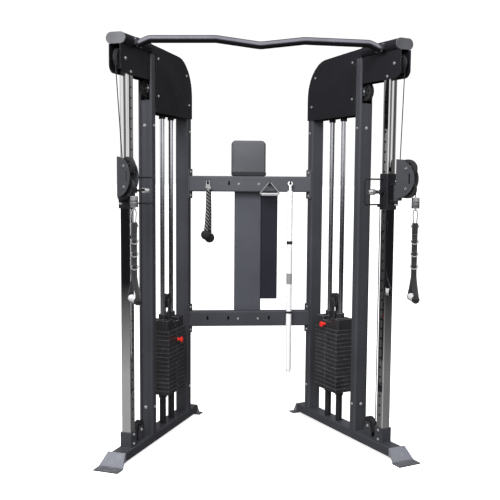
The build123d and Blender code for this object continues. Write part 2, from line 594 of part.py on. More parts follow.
# ---- swivel block: cheeks, barrel and two exit pulleys --------------------------------------
# Its own frame: X reaches away from the swivel pin, Y is across the cheeks.
BARREL_BOTTOM = LOWER_LUG_Z + LUG_PLATE + 0.5
BARREL_TOP = UPPER_LUG_Z - 0.5
UPPER_EXIT_Z = CHEEK_Z + EXIT_SPACING / 2
LOWER_EXIT_Z = CHEEK_Z - EXIT_SPACING / 2
with BuildPart() as swivel_block:
    for side_y in (-CHEEK_INSIDE - CHEEK_PLATE, CHEEK_INSIDE):
        with BuildSketch(Plane.XZ.offset(-side_y)):
            with Locations((CHEEK_START, CHEEK_Z)):
                Circle(CHEEK_RADIUS)
            with Locations((CHEEK_START - CHEEK_RADIUS, CHEEK_Z)):
                Rectangle(2 * CHEEK_RADIUS, 2 * CHEEK_RADIUS, mode=Mode.SUBTRACT)
            with Locations((78, CHEEK_Z)):
                SlotCenterToCenter(46, 7, rotation=90, mode=Mode.SUBTRACT)
        extrude(amount=-CHEEK_PLATE)
    with BuildSketch(Plane.XY.offset(BARREL_BOTTOM)):
        with Locations((14, 0)):
            Rectangle(12, 2 * CHEEK_INSIDE)
        Rectangle(20, 16)
        Circle(LUG_HALF)
        Circle(SWIVEL_PIN_RADIUS + RUNNING_GAP, mode=Mode.SUBTRACT)
    extrude(amount=BARREL_TOP - BARREL_BOTTOM)
    with BuildSketch(Plane.XZ.offset(15)):
        with Locations((EXIT_REACH, LOWER_EXIT_Z), (EXIT_REACH, UPPER_EXIT_Z)):
            Circle(EXIT_RIM + 1.5)
    extrude(amount=-30, mode=Mode.SUBTRACT)
    for exit_z in (LOWER_EXIT_Z, UPPER_EXIT_Z):
        add(axle(EXIT_REACH, exit_z, CHEEK_INSIDE + CHEEK_PLATE))
        for side_y in (-CHEEK_INSIDE, 12.0):
            with BuildSketch(Plane.XZ.offset(-side_y)):
                with Locations((EXIT_REACH, exit_z)):
                    Circle(11)
            extrude(amount=-(CHEEK_INSIDE - 12.0))
crossing = asin(2 * EXIT_CABLE / EXIT_SPACING)
crossing_rise = EXIT_CABLE / tan(crossing)
ENTRY_Z = UPPER_EXIT_Z + 20
block_cable = round_tube(((CABLE_ENTRY, 0, ENTRY_Z), (CABLE_ENTRY, 0, CHEEK_Z + crossing_rise),
                          (HANG_LINE, 0, CHEEK_Z - crossing_rise), (HANG_LINE, 0, STOPPER_TOP + 0.3)),
                         EXIT_CABLE, CABLE_RADIUS)


def swivel_place(side):
    """The swivel block's frame in the tower: its X axis is forward, turned by the rest angle."""
    angle = radians(SWIVEL_TURN[side])
    return Plane(origin=(SWIVEL_X, 0, 0), x_dir=(-cos(angle), sin(angle), 0), z_dir=(0, 0, 1))


for block_side in ("left", "right"):
    place = swivel_place(block_side)
    with BuildPart() as block:
        add(in_machine(place * swivel_block.part, block_side))
        add(in_machine(place * block_cable, block_side))
    save(block.part, f"swivel_block_{block_side}")
    for level, exit_z in (("upper", UPPER_EXIT_Z), ("lower", LOWER_EXIT_Z)):
        wheel = pulley(EXIT_REACH, exit_z, EXIT_RIM, EXIT_CABLE)
        save(in_machine(place * wheel, block_side), f"exit_pulley_{level}_{block_side}")

# ---- handle: stopper, snap hook, rings, webbing and grip ------------------------------------
# Its own frame: X runs along the grip, Z is the hanging line.
def ring(z, across, radius=2.5):
    """A D-shaped wire ring hanging with its flat side up at z, across the webbing."""
    half = across / 2
    with BuildPart() as wire:
        with BuildLine():
            path = FilletPolyline((0, -half, z), (0, half, z), (0, 0.8 * half, z - 13),
                                  (0, 0.25 * half, z - 20), (0, -0.25 * half, z - 20),
                                  (0, -0.8 * half, z - 13), radius=4.0, close=True)
        with BuildSketch(Plane(origin=path @ 0, z_dir=path % 0)):
            Circle(radius)
        sweep(path=path)
    return wire.part


with BuildPart() as stopper:
    with BuildSketch(Plane.XY.offset(STOPPER_BOTTOM)):
        Circle(STOPPER_RADIUS)
    extrude(amount=STOPPER_TOP - STOPPER_BOTTOM)
    fillet(stopper.edges().group_by(Axis.Z)[-1] + stopper.edges().group_by(Axis.Z)[0], 3)
    with BuildSketch(Plane.XY.offset(STOPPER_BOTTOM - 12)):
        Circle(4)
    extrude(amount=12)

HOOK_TOP, HOOK_BOTTOM = STOPPER_BOTTOM - 8.0, RING_Z - 6.0
with BuildPart() as snap_hook:
    with BuildLine():
        hook_path = FilletPolyline((0, -8, HOOK_TOP), (0, 8, HOOK_TOP), (0, 11, HOOK_TOP - 22),
                                   (0, 6, HOOK_BOTTOM - 4), (0, -6, HOOK_BOTTOM - 4),
                                   (0, -11, HOOK_TOP - 22), radius=6.0, close=True)
    with BuildSketch(Plane(origin=hook_path @ 0, z_dir=hook_path % 0)):
        Circle(3)
    sweep(path=hook_path)

with BuildPart() as webbing:
    outer, inner, half = GRIP_LENGTH / 2 + 10, GRIP_LENGTH / 2 + 7, STRAP_THICK / 2
    with BuildSketch(Plane.XZ.offset(-STRAP_WIDTH / 2)):
        with BuildLine():
            Polyline((-half, RING_Z - 6), (half, RING_Z - 6), (half, STRAP_JOIN), (outer, GRIP_Z + 14),
                     (outer, GRIP_Z - half), (-outer, GRIP_Z - half), (-outer, GRIP_Z + 14),
                     (-half, STRAP_JOIN), close=True)
        make_face()
        with BuildLine():
            Polyline((0, STRAP_JOIN - 5), (inner, GRIP_Z + 13), (inner, GRIP_Z + half),
                     (-inner, GRIP_Z + half), (-inner, GRIP_Z + 13), close=True)
        make_face(mode=Mode.SUBTRACT)
    extrude(amount=STRAP_WIDTH)

with BuildPart() as grip:
    with BuildSketch(Plane.YZ.offset(-GRIP_LENGTH / 2)):
        with Locations((0, GRIP_Z)):
            Circle(GRIP_RADIUS)
            Circle(GRIP_BORE, mode=Mode.SUBTRACT)
    extrude(amount=GRIP_LENGTH)

for handle_side in ("left", "right"):
    hang = machine_point(swivel_place(handle_side).from_local_coords((HANG_LINE, 0, 0)), handle_side)
    heading = radians(GRIP_TURN[handle_side])
    hang_place = Plane(origin=(hang.X, hang.Y, 0), x_dir=(cos(heading), sin(heading), 0),
                       z_dir=(0, 0, 1))
    with BuildPart() as hardware:
        add(hang_place * stopper.part)
        add(hang_place * snap_hook.part)
        for ring_z in RING_PLACES:
            add(hang_place * Pos(-STRAP_THICK / 2 - 3, 0, 0) * ring(ring_z, STRAP_WIDTH + 10))
        add(hang_place * Pos(0, 0, 2 * RING_Z - 4) * Rot(180, 0, 0) * ring(RING_Z + 8, STRAP_WIDTH + 12))
        add(hang_place * grip.part)
    save(hardware.part, f"handle_hardware_{handle_side}")
    save(hang_place * webbing.part, f"handle_webbing_{handle_side}")

# ---- pulleys of the towers ------------------------------------------------------------------
TOWER_PULLEYS = {
    "top_pulley": (TOP_PULLEY_X, HIGH_PULLEY_Z, PULLEY_RIM, PULLEY_CABLE),
    "shroud_rear_pulley": (SHROUD_REAR_PULLEY_X, HIGH_PULLEY_Z, PULLEY_RIM, PULLEY_CABLE),
    "shroud_front_pulley": (SHROUD_FRONT_PULLEY_X, LOW_PULLEY_Z, PULLEY_RIM, PULLEY_CABLE),
    "upright_pulley": (UPRIGHT_PULLEY_X, LOW_PULLEY_Z, PULLEY_RIM, PULLEY_CABLE),
    "base_pulley": (BASE_PULLEY_X, BASE_PULLEY_Z, PULLEY_RIM, PULLEY_CABLE),
    "floating_pulley": (STACK_MIDDLE, FLOAT_Z, FLOAT_RIM, FLOAT_CABLE),
}
for pulley_name, pulley_sizes in TOWER_PULLEYS.items():
    save_each(pulley(*pulley_sizes), pulley_name)

# ---- cables ---------------------------------------------------------------------------------
HIGH_LINE_Z = HIGH_PULLEY_Z + PULLEY_CABLE
LOW_LINE_Z = LOW_PULLEY_Z + PULLEY_CABLE
with BuildPart() as fixed_cable:
    add(straight_cable((TOP_PULLEY_X, 0, HIGH_LINE_Z), (SHROUD_REAR_PULLEY_X, 0, HIGH_LINE_Z)))
    add(wrap(SHROUD_REAR_PULLEY_X, HIGH_PULLEY_Z, PULLEY_CABLE, 0, 90))
    add(wrap(SHROUD_FRONT_PULLEY_X, LOW_PULLEY_Z, PULLEY_CABLE, 0, 90))
    add(straight_cable((UPRIGHT_PULLEY_X, 0, LOW_LINE_Z), (SHROUD_FRONT_PULLEY_X, 0, LOW_LINE_Z)))
    add(wrap(UPRIGHT_PULLEY_X, LOW_PULLEY_Z, PULLEY_CABLE, 90, 180))
    add(straight_cable((DOWN_LINE_X, 0, BASE_PULLEY_Z), (DOWN_LINE_X, 0, LOW_PULLEY_Z)))
    add(wrap(BASE_PULLEY_X, BASE_PULLEY_Z, PULLEY_CABLE, 180, 360))


def top_leave_angle(side):
    """Angle on the top pulley, from +X, where the cable leaves it for the swivel block."""
    entry = swivel_place(side).from_local_coords((CABLE_ENTRY, 0, ENTRY_Z))
    away = hypot(entry.X - TOP_PULLEY_X, entry.Z - HIGH_PULLEY_Z)
    heading = degrees(atan2(entry.Z - HIGH_PULLEY_Z, entry.X - TOP_PULLEY_X)) % 360
    return heading - degrees(acos(PULLEY_CABLE / away))


with BuildPart() as fixed_cables:
    for cable_side in ("left", "right"):
        add(in_machine(fixed_cable.part, cable_side))
        over_top = wrap(TOP_PULLEY_X, HIGH_PULLEY_Z, PULLEY_CABLE, 90, top_leave_angle(cable_side))
        add(in_machine(over_top, cable_side))
save(fixed_cables.part, "fixed_cables")

with BuildPart() as column_cables:
    for cable_side in ("left", "right"):
        leave = radians(top_leave_angle(cable_side))
        entry = swivel_place(cable_side).from_local_coords((CABLE_ENTRY, 0, ENTRY_Z + 0.8))
        upper = straight_cable((TOP_PULLEY_X + PULLEY_CABLE * cos(leave), 0,
                                HIGH_PULLEY_Z + PULLEY_CABLE * sin(leave)), (entry.X, entry.Y, entry.Z))
        lower = straight_cable((ANCHOR_LINE_X, 0, BASE_PULLEY_Z), (ANCHOR_LINE_X, 0, ANCHOR_Z - 12.3))
        add(in_machine(upper, cable_side))
        add(in_machine(lower, cable_side))
save(column_cables.part, "column_cables")

with BuildPart() as lift_cable:
    add(straight_cable((FRONT_LIFT_LINE, 0, FLOAT_Z), (FRONT_LIFT_LINE, 0, LOW_PULLEY_Z)))
    add(straight_cable((REAR_LIFT_LINE, 0, FLOAT_Z), (REAR_LIFT_LINE, 0, HIGH_PULLEY_Z)))
save_both(lift_cable.part, "lift_cables")

# ---- crossbeams -----------------------------------------------------------------------------
def inner_face(side, reach):
    """Plane of the rear upright's inner face, moved inwards by reach, facing the other tower."""
    sign = -1 if side == "right" else 1
    corner = tower_place.from_local_coords((REAR_UPRIGHT, UPRIGHT_WIDTH / 2 + reach, 0))
    return Plane(origin=(-sign * corner.X, corner.Y, 0), z_dir=(sign * cos(turn), -sin(turn), 0))


def crossbeam(z, name):
    with BuildPart() as beam:
        with BuildSketch(Plane(origin=(-450, BEAM_Y, z), x_dir=(0, 1, 0), z_dir=(1, 0, 0))):
            RectangleRounded(BEAM_DEPTH, BEAM_HEIGHT, BEAM_RADIUS)
            RectangleRounded(BEAM_DEPTH - 2 * TUBE_WALL, BEAM_HEIGHT - 2 * TUBE_WALL,
                             BEAM_RADIUS - TUBE_WALL, mode=Mode.SUBTRACT)
        extrude(amount=900)
        with BuildSketch(Plane.XZ.offset(-BEAM_FRONT + 2)):
            with Locations(*[(x, z) for x in HOOK_PLACES]):
                Circle(7)
            with Locations(*[(x, z + 8) for x in HOOK_PLACES]):
                SlotCenterToCenter(10, 9, rotation=90)
        extrude(amount=-TUBE_WALL - 4, mode=Mode.SUBTRACT)
        split(bisect_by=inner_face("left", BEAM_END_PLATE), keep=Keep.TOP)
        split(bisect_by=inner_face("right", BEAM_END_PLATE), keep=Keep.TOP)
        for side in ("left", "right"):
            end_plate = inner_face(side, 0)
            with BuildSketch(Plane(origin=end_plate.origin + Vector(0, 0, z),
                                   x_dir=Vector(0, 0, 1), z_dir=end_plate.z_dir)):
                RectangleRounded(168, UPRIGHT_DEPTH, 6)
            extrude(amount=BEAM_END_PLATE)
    save(beam.part, name)


crossbeam(UPPER_BEAM_Z, "upper_crossbeam")
crossbeam(LOWER_BEAM_Z, "lower_crossbeam")

# ---- pull-up bar ----------------------------------------------------------------------------
arm_inside = tower_place.from_local_coords((ARM_WIDTH / 2 * tan(turn), ARM_WIDTH / 2, 0))
BAR_END_X = arm_inside.X
with BuildPart() as pull_up_bar:
    bends = ((-BAR_END_X + 3, 2076), (-545, 2100), (-218, 2107), (0, 2080), (218, 2107), (545, 2100),
             (BAR_END_X - 3, 2076))
    add(round_tube([(x, BAR_Y, z) for x, z in bends], (60, 90, 110, 90, 60), BAR_RADIUS))
    for side in (-1, 1):
        flange = Plane(origin=(side * arm_inside.X, BAR_Y, ARM_Z - 6),
                       x_dir=(0, 0, 1), z_dir=(-side * cos(turn), -sin(turn), 0))
        with BuildSketch(flange.offset(-3)):
            RectangleRounded(46, 64, 12)
        extrude(amount=11)
    for side in (-1, 1):
        end_face = Plane(origin=(side * arm_inside.X, BAR_Y, 0), z_dir=(-side * cos(turn), -sin(turn), 0))
        split(bisect_by=end_face.offset(-3), keep=Keep.TOP)
save(pull_up_bar.part, "pull_up_bar")

# ---- centre spine, head pad and side panel --------------------------------------------------
SPINE_FRONT = BEAM_Y + BEAM_DEPTH / 2
with BuildPart() as centre_spine:
    with BuildSketch(Plane(origin=(-8, SPINE_FRONT + 14, 585))):
        RectangleRounded(156, 28, 8)
    extrude(amount=1020)
save(centre_spine.part, "centre_spine")

with BuildPart() as head_pad:
    with BuildSketch(Plane(origin=(-7, SPINE_FRONT, 1547), x_dir=(1, 0, 0), z_dir=(0, -1, 0))):
        RectangleRounded(196, 202, 22)
    extrude(amount=45)
    fillet(head_pad.faces().sort_by(Axis.Y)[0].edges(), 12)
save(head_pad.part, "head_pad")

with BuildPart() as side_panel:
    with BuildSketch(Plane(origin=(118, SPINE_FRONT + 15, 727))):
        RectangleRounded(96, 30, 6)
    extrude(amount=700)
save(side_panel.part, "side_panel")

# ---- accessories on the upper crossbeam -----------------------------------------------------
EYE_PIN_GAP = 3.0


def eye(x, top, reach):
    """A flat eye on its hook, with a neck down to the piece it carries."""
    with BuildPart() as loop:
        with BuildSketch(Plane.XZ.offset(-ACCESSORY_Y - 4)):
            with Locations((x, top)):
                Circle(14)
            with Locations((x, top - reach / 2)):
                Rectangle(12, reach)
            with Locations((x, top)):
                Circle(HOOK_RADIUS + EYE_PIN_GAP, mode=Mode.SUBTRACT)
        extrude(amount=8)
    return loop.part


EYE_Z = UPPER_BEAM_Z + 4
ROPE_TOP, ROPE_RADIUS, ROPE_BALL = 1368.0, 13.0, 29.0
with BuildPart() as rope_fitting:
    with BuildSketch(Plane.XZ.offset(-ACCESSORY_Y - 4)):
        with BuildLine():
            Polyline((ROPE_X - 15.5, ROPE_TOP + 8), (ROPE_X + 15.5, ROPE_TOP + 8), (ROPE_X + 9, EYE_Z + 14),
                     (ROPE_X - 9, EYE_Z + 14), close=True)
        make_face()
        with Locations((ROPE_X, EYE_Z)):
            Circle(HOOK_RADIUS + EYE_PIN_GAP, mode=Mode.SUBTRACT)
    extrude(amount=8)
    with BuildSketch(Plane(origin=(ROPE_X + 3, ACCESSORY_Y - 5, ROPE_TOP))):
        RectangleRounded(34, 52, 13)
    extrude(amount=12)
save(rope_fitting.part, "rope_fitting")

# Each leg's points, sideways and backwards of the hook, and up. The first leg hangs in front.
ROPE_LEGS = (
    ((0.5, -18, ROPE_TOP), (0, -18.5, 1290), (-3, -19, 1205), (-11, -20, 1129)),
    ((6, 8, ROPE_TOP), (8, 9, 1300), (10, 20, 1195), (10, 31.5, 1109)),
)
ROPE_ROUTES = [[(ROPE_X + x, ACCESSORY_Y + y, z) for x, y, z in leg] for leg in ROPE_LEGS]
with BuildPart() as rope_legs:
    for route in ROPE_ROUTES:
        add(cord_tube(route, ROPE_RADIUS))
save(rope_legs.part, "rope_legs")

BALL_FLAT = 19.0
with BuildPart() as rope_balls:
    for route in ROPE_ROUTES:
        end = route[-1]
        ball_middle = Plane(origin=(end[0], end[1], end[2] - BALL_FLAT), x_dir=(1, 0, 0), z_dir=(0, -1, 0))
        with BuildSketch(ball_middle):
            Circle(ROPE_BALL)
            with Locations((-ROPE_BALL, 0)):
                Rectangle(2 * ROPE_BALL, 2 * ROPE_BALL, mode=Mode.SUBTRACT)
            with Locations((0, BALL_FLAT + 15)):
                Rectangle(2 * ROPE_BALL, 30, mode=Mode.SUBTRACT)
        revolve(axis=Axis((end[0], end[1], 0), (0, 0, 1)))
save(rope_balls.part, "rope_balls")

TRIANGLE_APEX, TRIANGLE_BASE, TRIANGLE_HALF = EYE_Z + 12, 1342.0, 61.0
TRIANGLE_WIRE, TRIANGLE_GRIP, TRIANGLE_GRIP_HALF = 3.5, 10.0, 48.0
with BuildPart() as triangle_handle:
    with BuildLine():
        triangle = FilletPolyline((TRIANGLE_X, ACCESSORY_Y, TRIANGLE_APEX),
                                  (TRIANGLE_X + TRIANGLE_HALF, ACCESSORY_Y, TRIANGLE_BASE),
                                  (TRIANGLE_X - TRIANGLE_HALF, ACCESSORY_Y, TRIANGLE_BASE),
                                  radius=6.0, close=True)
    with BuildSketch(Plane(origin=triangle @ 0, z_dir=triangle % 0)):
        Circle(TRIANGLE_WIRE)
    sweep(path=triangle)
    grip_end = Plane(origin=(TRIANGLE_X - TRIANGLE_GRIP_HALF, ACCESSORY_Y, TRIANGLE_BASE),
                     x_dir=(0, 1, 0), z_dir=(1, 0, 0))
    with BuildSketch(grip_end):
        Circle(TRIANGLE_GRIP)
    extrude(amount=2 * TRIANGLE_GRIP_HALF)
save(triangle_handle.part, "triangle_handle")

with BuildPart() as long_bar:
    add(eye(BAR_X, EYE_Z, 46))
    with BuildSketch(Plane(origin=(BAR_X, ACCESSORY_Y, 318))):
        Circle(16)
    extrude(amount=1045)
    for ring_z, ring_height, ring_radius in ((1056, 16, 17.5), (652, 12, 17.5), (824, 62, 16.8)):
        with BuildSketch(Plane(origin=(BAR_X, ACCESSORY_Y, ring_z))):
            Circle(ring_radius)
        extrude(amount=ring_height)
    with BuildSketch(Plane.XZ.offset(-ACCESSORY_Y - 4)):
        with Locations((BAR_X, 306)):
            Circle(13)
            Circle(6, mode=Mode.SUBTRACT)
    extrude(amount=8)
save(long_bar.part, "long_bar")

# ---- bolts, axles and hooks -----------------------------------------------------------------
def side_bolts(x, z, side_y, radius=8.0):
    """A dome on each side of a tube, on the faces at plus and minus side_y."""
    for sign in (-1, 1):
        add(dome(Plane(origin=(x, sign * side_y, z), x_dir=(1, 0, 0), z_dir=(0, sign, 0)), radius))


with BuildPart() as tower_bolts:
    half = UPRIGHT_WIDTH / 2
    for bolt_x, bolt_z in ((FRONT_UPRIGHT, 1697), (FRONT_UPRIGHT, 220), (REAR_UPRIGHT, 1693),
                           (REAR_UPRIGHT, 218)):
        side_bolts(bolt_x, bolt_z, half)
    for bolt_z in (1697, 220):
        add(dome(Plane(origin=(FRONT_UPRIGHT - UPRIGHT_DEPTH / 2, 0, bolt_z), x_dir=(0, 1, 0),
                       z_dir=(-1, 0, 0)), 9.0, 7.0))
    for beam_z in (UPPER_BEAM_Z, LOWER_BEAM_Z):
        for rise in (-66, 66):
            add(dome(Plane(origin=(REAR_UPRIGHT, -half, beam_z + rise), x_dir=(1, 0, 0), z_dir=(0, -1, 0))))
            add(dome(Plane(origin=(REAR_UPRIGHT, half + BEAM_END_PLATE, beam_z + rise), x_dir=(1, 0, 0),
                           z_dir=(0, 1, 0))))
    for bolt_x, bolt_z in ((268, 2041), (268, 1851), (628, 2000), (664, 1841)):
        side_bolts(bolt_x, bolt_z, half + SHROUD_PLATE, 7.0)
    for bolt_z in (136, 88):
        side_bolts(0, bolt_z, SOCKET_SIDE / 2)
    add(axle(TOP_PULLEY_X, HIGH_PULLEY_Z, BRACKET_INSIDE + BRACKET_PLATE))
    side_bolts(-12, BRACKET_BOTTOM + 14, BRACKET_INSIDE + BRACKET_PLATE)
    add(axle(UPRIGHT_PULLEY_X, LOW_PULLEY_Z, 20))
    add(axle(BASE_PULLEY_X, BASE_PULLEY_Z, 18))
    for bolt_x, bolt_z in ((SHROUD_FRONT_PULLEY_X, LOW_PULLEY_Z), (SHROUD_REAR_PULLEY_X, HIGH_PULLEY_Z)):
        add(axle(bolt_x, bolt_z, 20))

with BuildPart() as frame_bolts:
    for bolt_side in ("left", "right"):
        add(in_machine(tower_bolts.part, bolt_side))
    for beam_z in (UPPER_BEAM_Z, LOWER_BEAM_Z):
        for bolt_x in (-66, 50):
            spine_bolt = Plane(origin=(bolt_x, BEAM_FRONT, beam_z), x_dir=(1, 0, 0), z_dir=(0, -1, 0))
            add(dome(spine_bolt, 6.5, 5.0))
    for hook_x in (ROPE_X, TRIANGLE_X, BAR_X):
        with BuildSketch(Plane(origin=(hook_x, BEAM_FRONT, EYE_Z - 2), x_dir=(1, 0, 0), z_dir=(0, -1, 0))):
            Circle(13)
        extrude(amount=2)
        add(round_tube(((hook_x, BEAM_FRONT - 1, EYE_Z), (hook_x, BEAM_FRONT - HOOK_REACH - 8, EYE_Z),
                        (hook_x, BEAM_FRONT - HOOK_REACH - 8, EYE_Z + 16)), 6.0, HOOK_RADIUS))
save(frame_bolts.part, "frame_bolts")
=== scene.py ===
import math

import bmesh
import bpy
from mathutils import Matrix, Vector


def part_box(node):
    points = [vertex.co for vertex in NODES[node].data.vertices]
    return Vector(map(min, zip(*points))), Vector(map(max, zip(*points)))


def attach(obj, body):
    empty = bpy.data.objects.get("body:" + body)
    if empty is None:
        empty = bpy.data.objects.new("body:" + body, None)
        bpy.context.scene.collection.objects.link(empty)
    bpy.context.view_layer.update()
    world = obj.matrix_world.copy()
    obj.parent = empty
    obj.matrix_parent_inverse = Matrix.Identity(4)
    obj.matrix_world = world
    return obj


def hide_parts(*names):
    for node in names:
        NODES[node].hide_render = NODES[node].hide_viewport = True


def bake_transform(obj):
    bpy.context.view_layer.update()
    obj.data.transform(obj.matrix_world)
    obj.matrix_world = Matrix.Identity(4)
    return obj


# Looks of the cable crossover machine: materials for every CAD node, and the soft, worn and
# stretching pieces that CAD only holds as plain solids. Metres, +Z up, +Y to the back.

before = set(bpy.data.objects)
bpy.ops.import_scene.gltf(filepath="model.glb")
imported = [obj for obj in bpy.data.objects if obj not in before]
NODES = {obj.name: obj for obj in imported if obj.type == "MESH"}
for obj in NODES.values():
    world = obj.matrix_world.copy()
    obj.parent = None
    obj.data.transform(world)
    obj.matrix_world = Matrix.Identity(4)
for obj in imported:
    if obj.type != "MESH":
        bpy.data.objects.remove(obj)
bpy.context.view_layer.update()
SIDES = ("left", "right")

# ---- driving dimensions ---------------------------------------------------------------------
TOWER_X, TOWER_Y = 0.655, -0.32406
TURN = math.radians(23.5)
SWIVEL_S = -0.065
SWIVEL_TURN = {"left": math.radians(66), "right": math.radians(-28)}
HIGH_Z, LOW_Z, BASE_Z, FLOAT_Z = 1.996, 1.885, 0.128, 0.752
TOP_S, PULLEY_CABLE = -0.066, 0.044
ANCHOR_S, ANCHOR_Z = 0.064, 1.288
FRONT_LIFT_S, REAR_LIFT_S, STACK_S = 0.420, 0.494, 0.457
CABLE_ENTRY, ENTRY_Z = 0.016, 1.502
HANG_REACH, EXIT_LOW_Z = 0.103, 1.382
STOPPER_TOP, STOPPER_BOTTOM = 1.341, 1.287
CABLE = 0.0026
RING_TOP = 1.205
RING_PLACES = (1.131, 1.069, 1.007)
STRAP_WIDTH = 0.029
STRAP_JOIN, GRIP_Z = 0.958, 0.842
GRIP_LENGTH = 0.118
GRIP_TURN = {"left": math.radians(110), "right": math.radians(86)}
PIN_Z, POP_PIN_Z = {"left": 0.5397, "right": 0.620}, 1.366
BEAM_FRONT = TOWER_Y + 0.590
ACCESSORY_Y = BEAM_FRONT - 0.022
ROPE_X, ROPE_TOP, ROPE_RADIUS = -0.243, 1.368, 0.013
HOOK_PLACES, HOOK_Z = (-0.243, 0.111, 0.229), 1.408
EXIT_REACH, CHEEK_Z, EXIT_STEP, CHEEK_FACE = 0.0595, 1.432, 0.050, 0.028
LUG_TOP, LUG_BOTTOM = 1.416, 1.307


# ---- places ---------------------------------------------------------------------------------
def machine(side, s, t, z):
    """A point of a tower's own frame (along the rail, inwards, up) in the machine."""
    x = TOWER_X - s * math.sin(TURN) - t * math.cos(TURN)
    y = TOWER_Y + s * math.cos(TURN) - t * math.sin(TURN)
    return Vector((x if side == "right" else -x, y, z))


def swivel(side, reach, across, z):
    """A point of a swivel block's own frame, in the machine."""
    angle = SWIVEL_TURN[side]
    s = SWIVEL_S - reach * math.cos(angle) - across * math.sin(angle)
    t = reach * math.sin(angle) - across * math.cos(angle)
    return machine(side, s, t, z)


def hanging(side, along, across, z):
    """A point of a handle's own frame: along the grip, across it, up."""
    centre = swivel(side, HANG_REACH, 0, z)
    heading = GRIP_TURN[side]
    return centre + Vector((along * math.cos(heading) - across * math.sin(heading),
                            along * math.sin(heading) + across * math.cos(heading), 0))


# ---- materials ------------------------------------------------------------------------------
class Surface:
    """A Principled material that is put together node by node."""

    def __init__(self, name, colour, metallic=0.0, roughness=0.5, specular=0.5):
        self.material = bpy.data.materials.new(name)
        self.material.use_nodes = True
        self.tree = self.material.node_tree
        self.shader = self.tree.nodes["Principled BSDF"]
        self.shader.inputs["Base Color"].default_value = (*colour, 1)
        self.shader.inputs["Metallic"].default_value = metallic
        self.shader.inputs["Roughness"].default_value = roughness
        self.shader.inputs["Specular IOR Level"].default_value = specular
        self.place = self.add("ShaderNodeTexCoord").outputs["Object"]

    def add(self, kind, **settings):
        node = self.tree.nodes.new(kind)
        for key, value in settings.items():
            setattr(node, key, value)
        return node

    def link(self, output, socket):
        self.tree.links.new(output, socket)

    def noise(self, scale, detail=2.0, stretch=(1, 1, 1)):
        mapping = self.add("ShaderNodeMapping")
        mapping.inputs["Scale"].default_value = stretch
        self.link(self.place, mapping.inputs["Vector"])
        node = self.add("ShaderNodeTexNoise")
        node.inputs["Scale"].default_value = scale
        node.inputs["Detail"].default_value = detail
        self.link(mapping.outputs[0], node.inputs["Vector"])
        return node.outputs["Fac"]

    def ramp(self, value, low, high, start=0.35, end=0.65):
        """A grey or coloured ramp over a value between 0 and 1."""
        node = self.add("ShaderNodeValToRGB")
        node.color_ramp.elements[0].position = start
        node.color_ramp.elements[1].position = end
        for element, colour in zip(node.color_ramp.elements, (low, high)):
            element.color = (*colour, 1) if hasattr(colour, "__len__") else (colour, colour, colour, 1)
        self.link(value, node.inputs["Fac"])
        return node.outputs["Color"]

    def mix(self, factor, first, second):
        node = self.add("ShaderNodeMix", data_type="RGBA")
        self.link(factor, node.inputs["Factor"])
        for socket, colour in (("A", first), ("B", second)):
            target = [i for i in node.inputs if i.name == socket and i.type == "RGBA"][0]
            if hasattr(colour, "__len__"):
                target.default_value = (*colour, 1)
            else:
                self.link(colour, target)
        return [o for o in node.outputs if o.type == "RGBA"][0]

    def math(self, operation, first, second=0.0):
        node = self.add("ShaderNodeMath", operation=operation)
        for socket, value in zip(node.inputs, (first, second)):
            if isinstance(value, (int, float)):
                socket.default_value = value
            else:
                self.link(value, socket)
        return node.outputs[0]

    def bump(self, height, distance, strength=1.0):
        node = self.add("ShaderNodeBump")
        node.inputs["Strength"].default_value = strength
        node.inputs["Distance"].default_value = distance
        self.link(height, node.inputs["Height"])
        before = self.shader.inputs["Normal"]
        if before.links:
            self.link(before.links[0].from_socket, node.inputs["Normal"])
        self.link(node.outputs[0], before)

    def rounded_edges(self, radius):
        """Softens hard edges with a bevelled normal, and returns how strongly each point is an edge."""
        bevel = self.add("ShaderNodeBevel", samples=4)
        bevel.inputs["Radius"].default_value = radius
        self.link(bevel.outputs[0], self.shader.inputs["Normal"])
        true = self.add("ShaderNodeNewGeometry")
        dot = self.add("ShaderNodeVectorMath", operation="DOT_PRODUCT")
        self.link(bevel.outputs[0], dot.inputs[0])
        self.link(true.outputs["Normal"], dot.inputs[1])
        return self.math("SUBTRACT", 1.0, dot.outputs["Value"])

    def clamped(self, value):
        return self.math("MINIMUM", self.math("MAXIMUM", value, 0.0), 1.0)

    def split(self, vector):
        node = self.add("ShaderNodeSeparateXYZ")
        self.link(vector, node.inputs[0])
        return node.outputs

    def within(self, centre, radius):
        """1 inside a ball and 0 outside it, for the knob on a pin or the bolts near a hook."""
        away = self.add("ShaderNodeVectorMath", operation="DISTANCE")
        self.link(self.place, away.inputs[0])
        away.inputs[1].default_value = centre
        return self.math("LESS_THAN", away.outputs["Value"], radius)

    def put(self, *sockets):
        for name, output in sockets:
            self.link(output, self.shader.inputs[name])
        return self.material


def scaled(colour, amount):
    return tuple(min(1.0, channel * amount) for channel in colour)


def powder_coat(name, colour, roughness, specular=0.45):
    """Satin powder coat: orange-peel grain, slow tone changes and paint thinned along the edges."""
    coat = Surface(name, colour, roughness=roughness, specular=specular)
    edge = coat.rounded_edges(0.0012)
    tone = coat.ramp(coat.noise(3.0, 3.0), scaled(colour, 0.88), scaled(colour, 1.12))
    scuffs = coat.math("MULTIPLY", edge, coat.ramp(coat.noise(60.0, 4.0), 0.0, 1.6))
    worn = coat.mix(scuffs, tone, (0.3, 0.3, 0.31))
    gloss = coat.ramp(coat.noise(9.0, 4.0), roughness - 0.05, roughness + 0.06)
    coat.bump(coat.noise(1400.0, 2.0), 0.00012, 0.35)
    return coat.put(("Base Color", worn), ("Roughness", gloss))


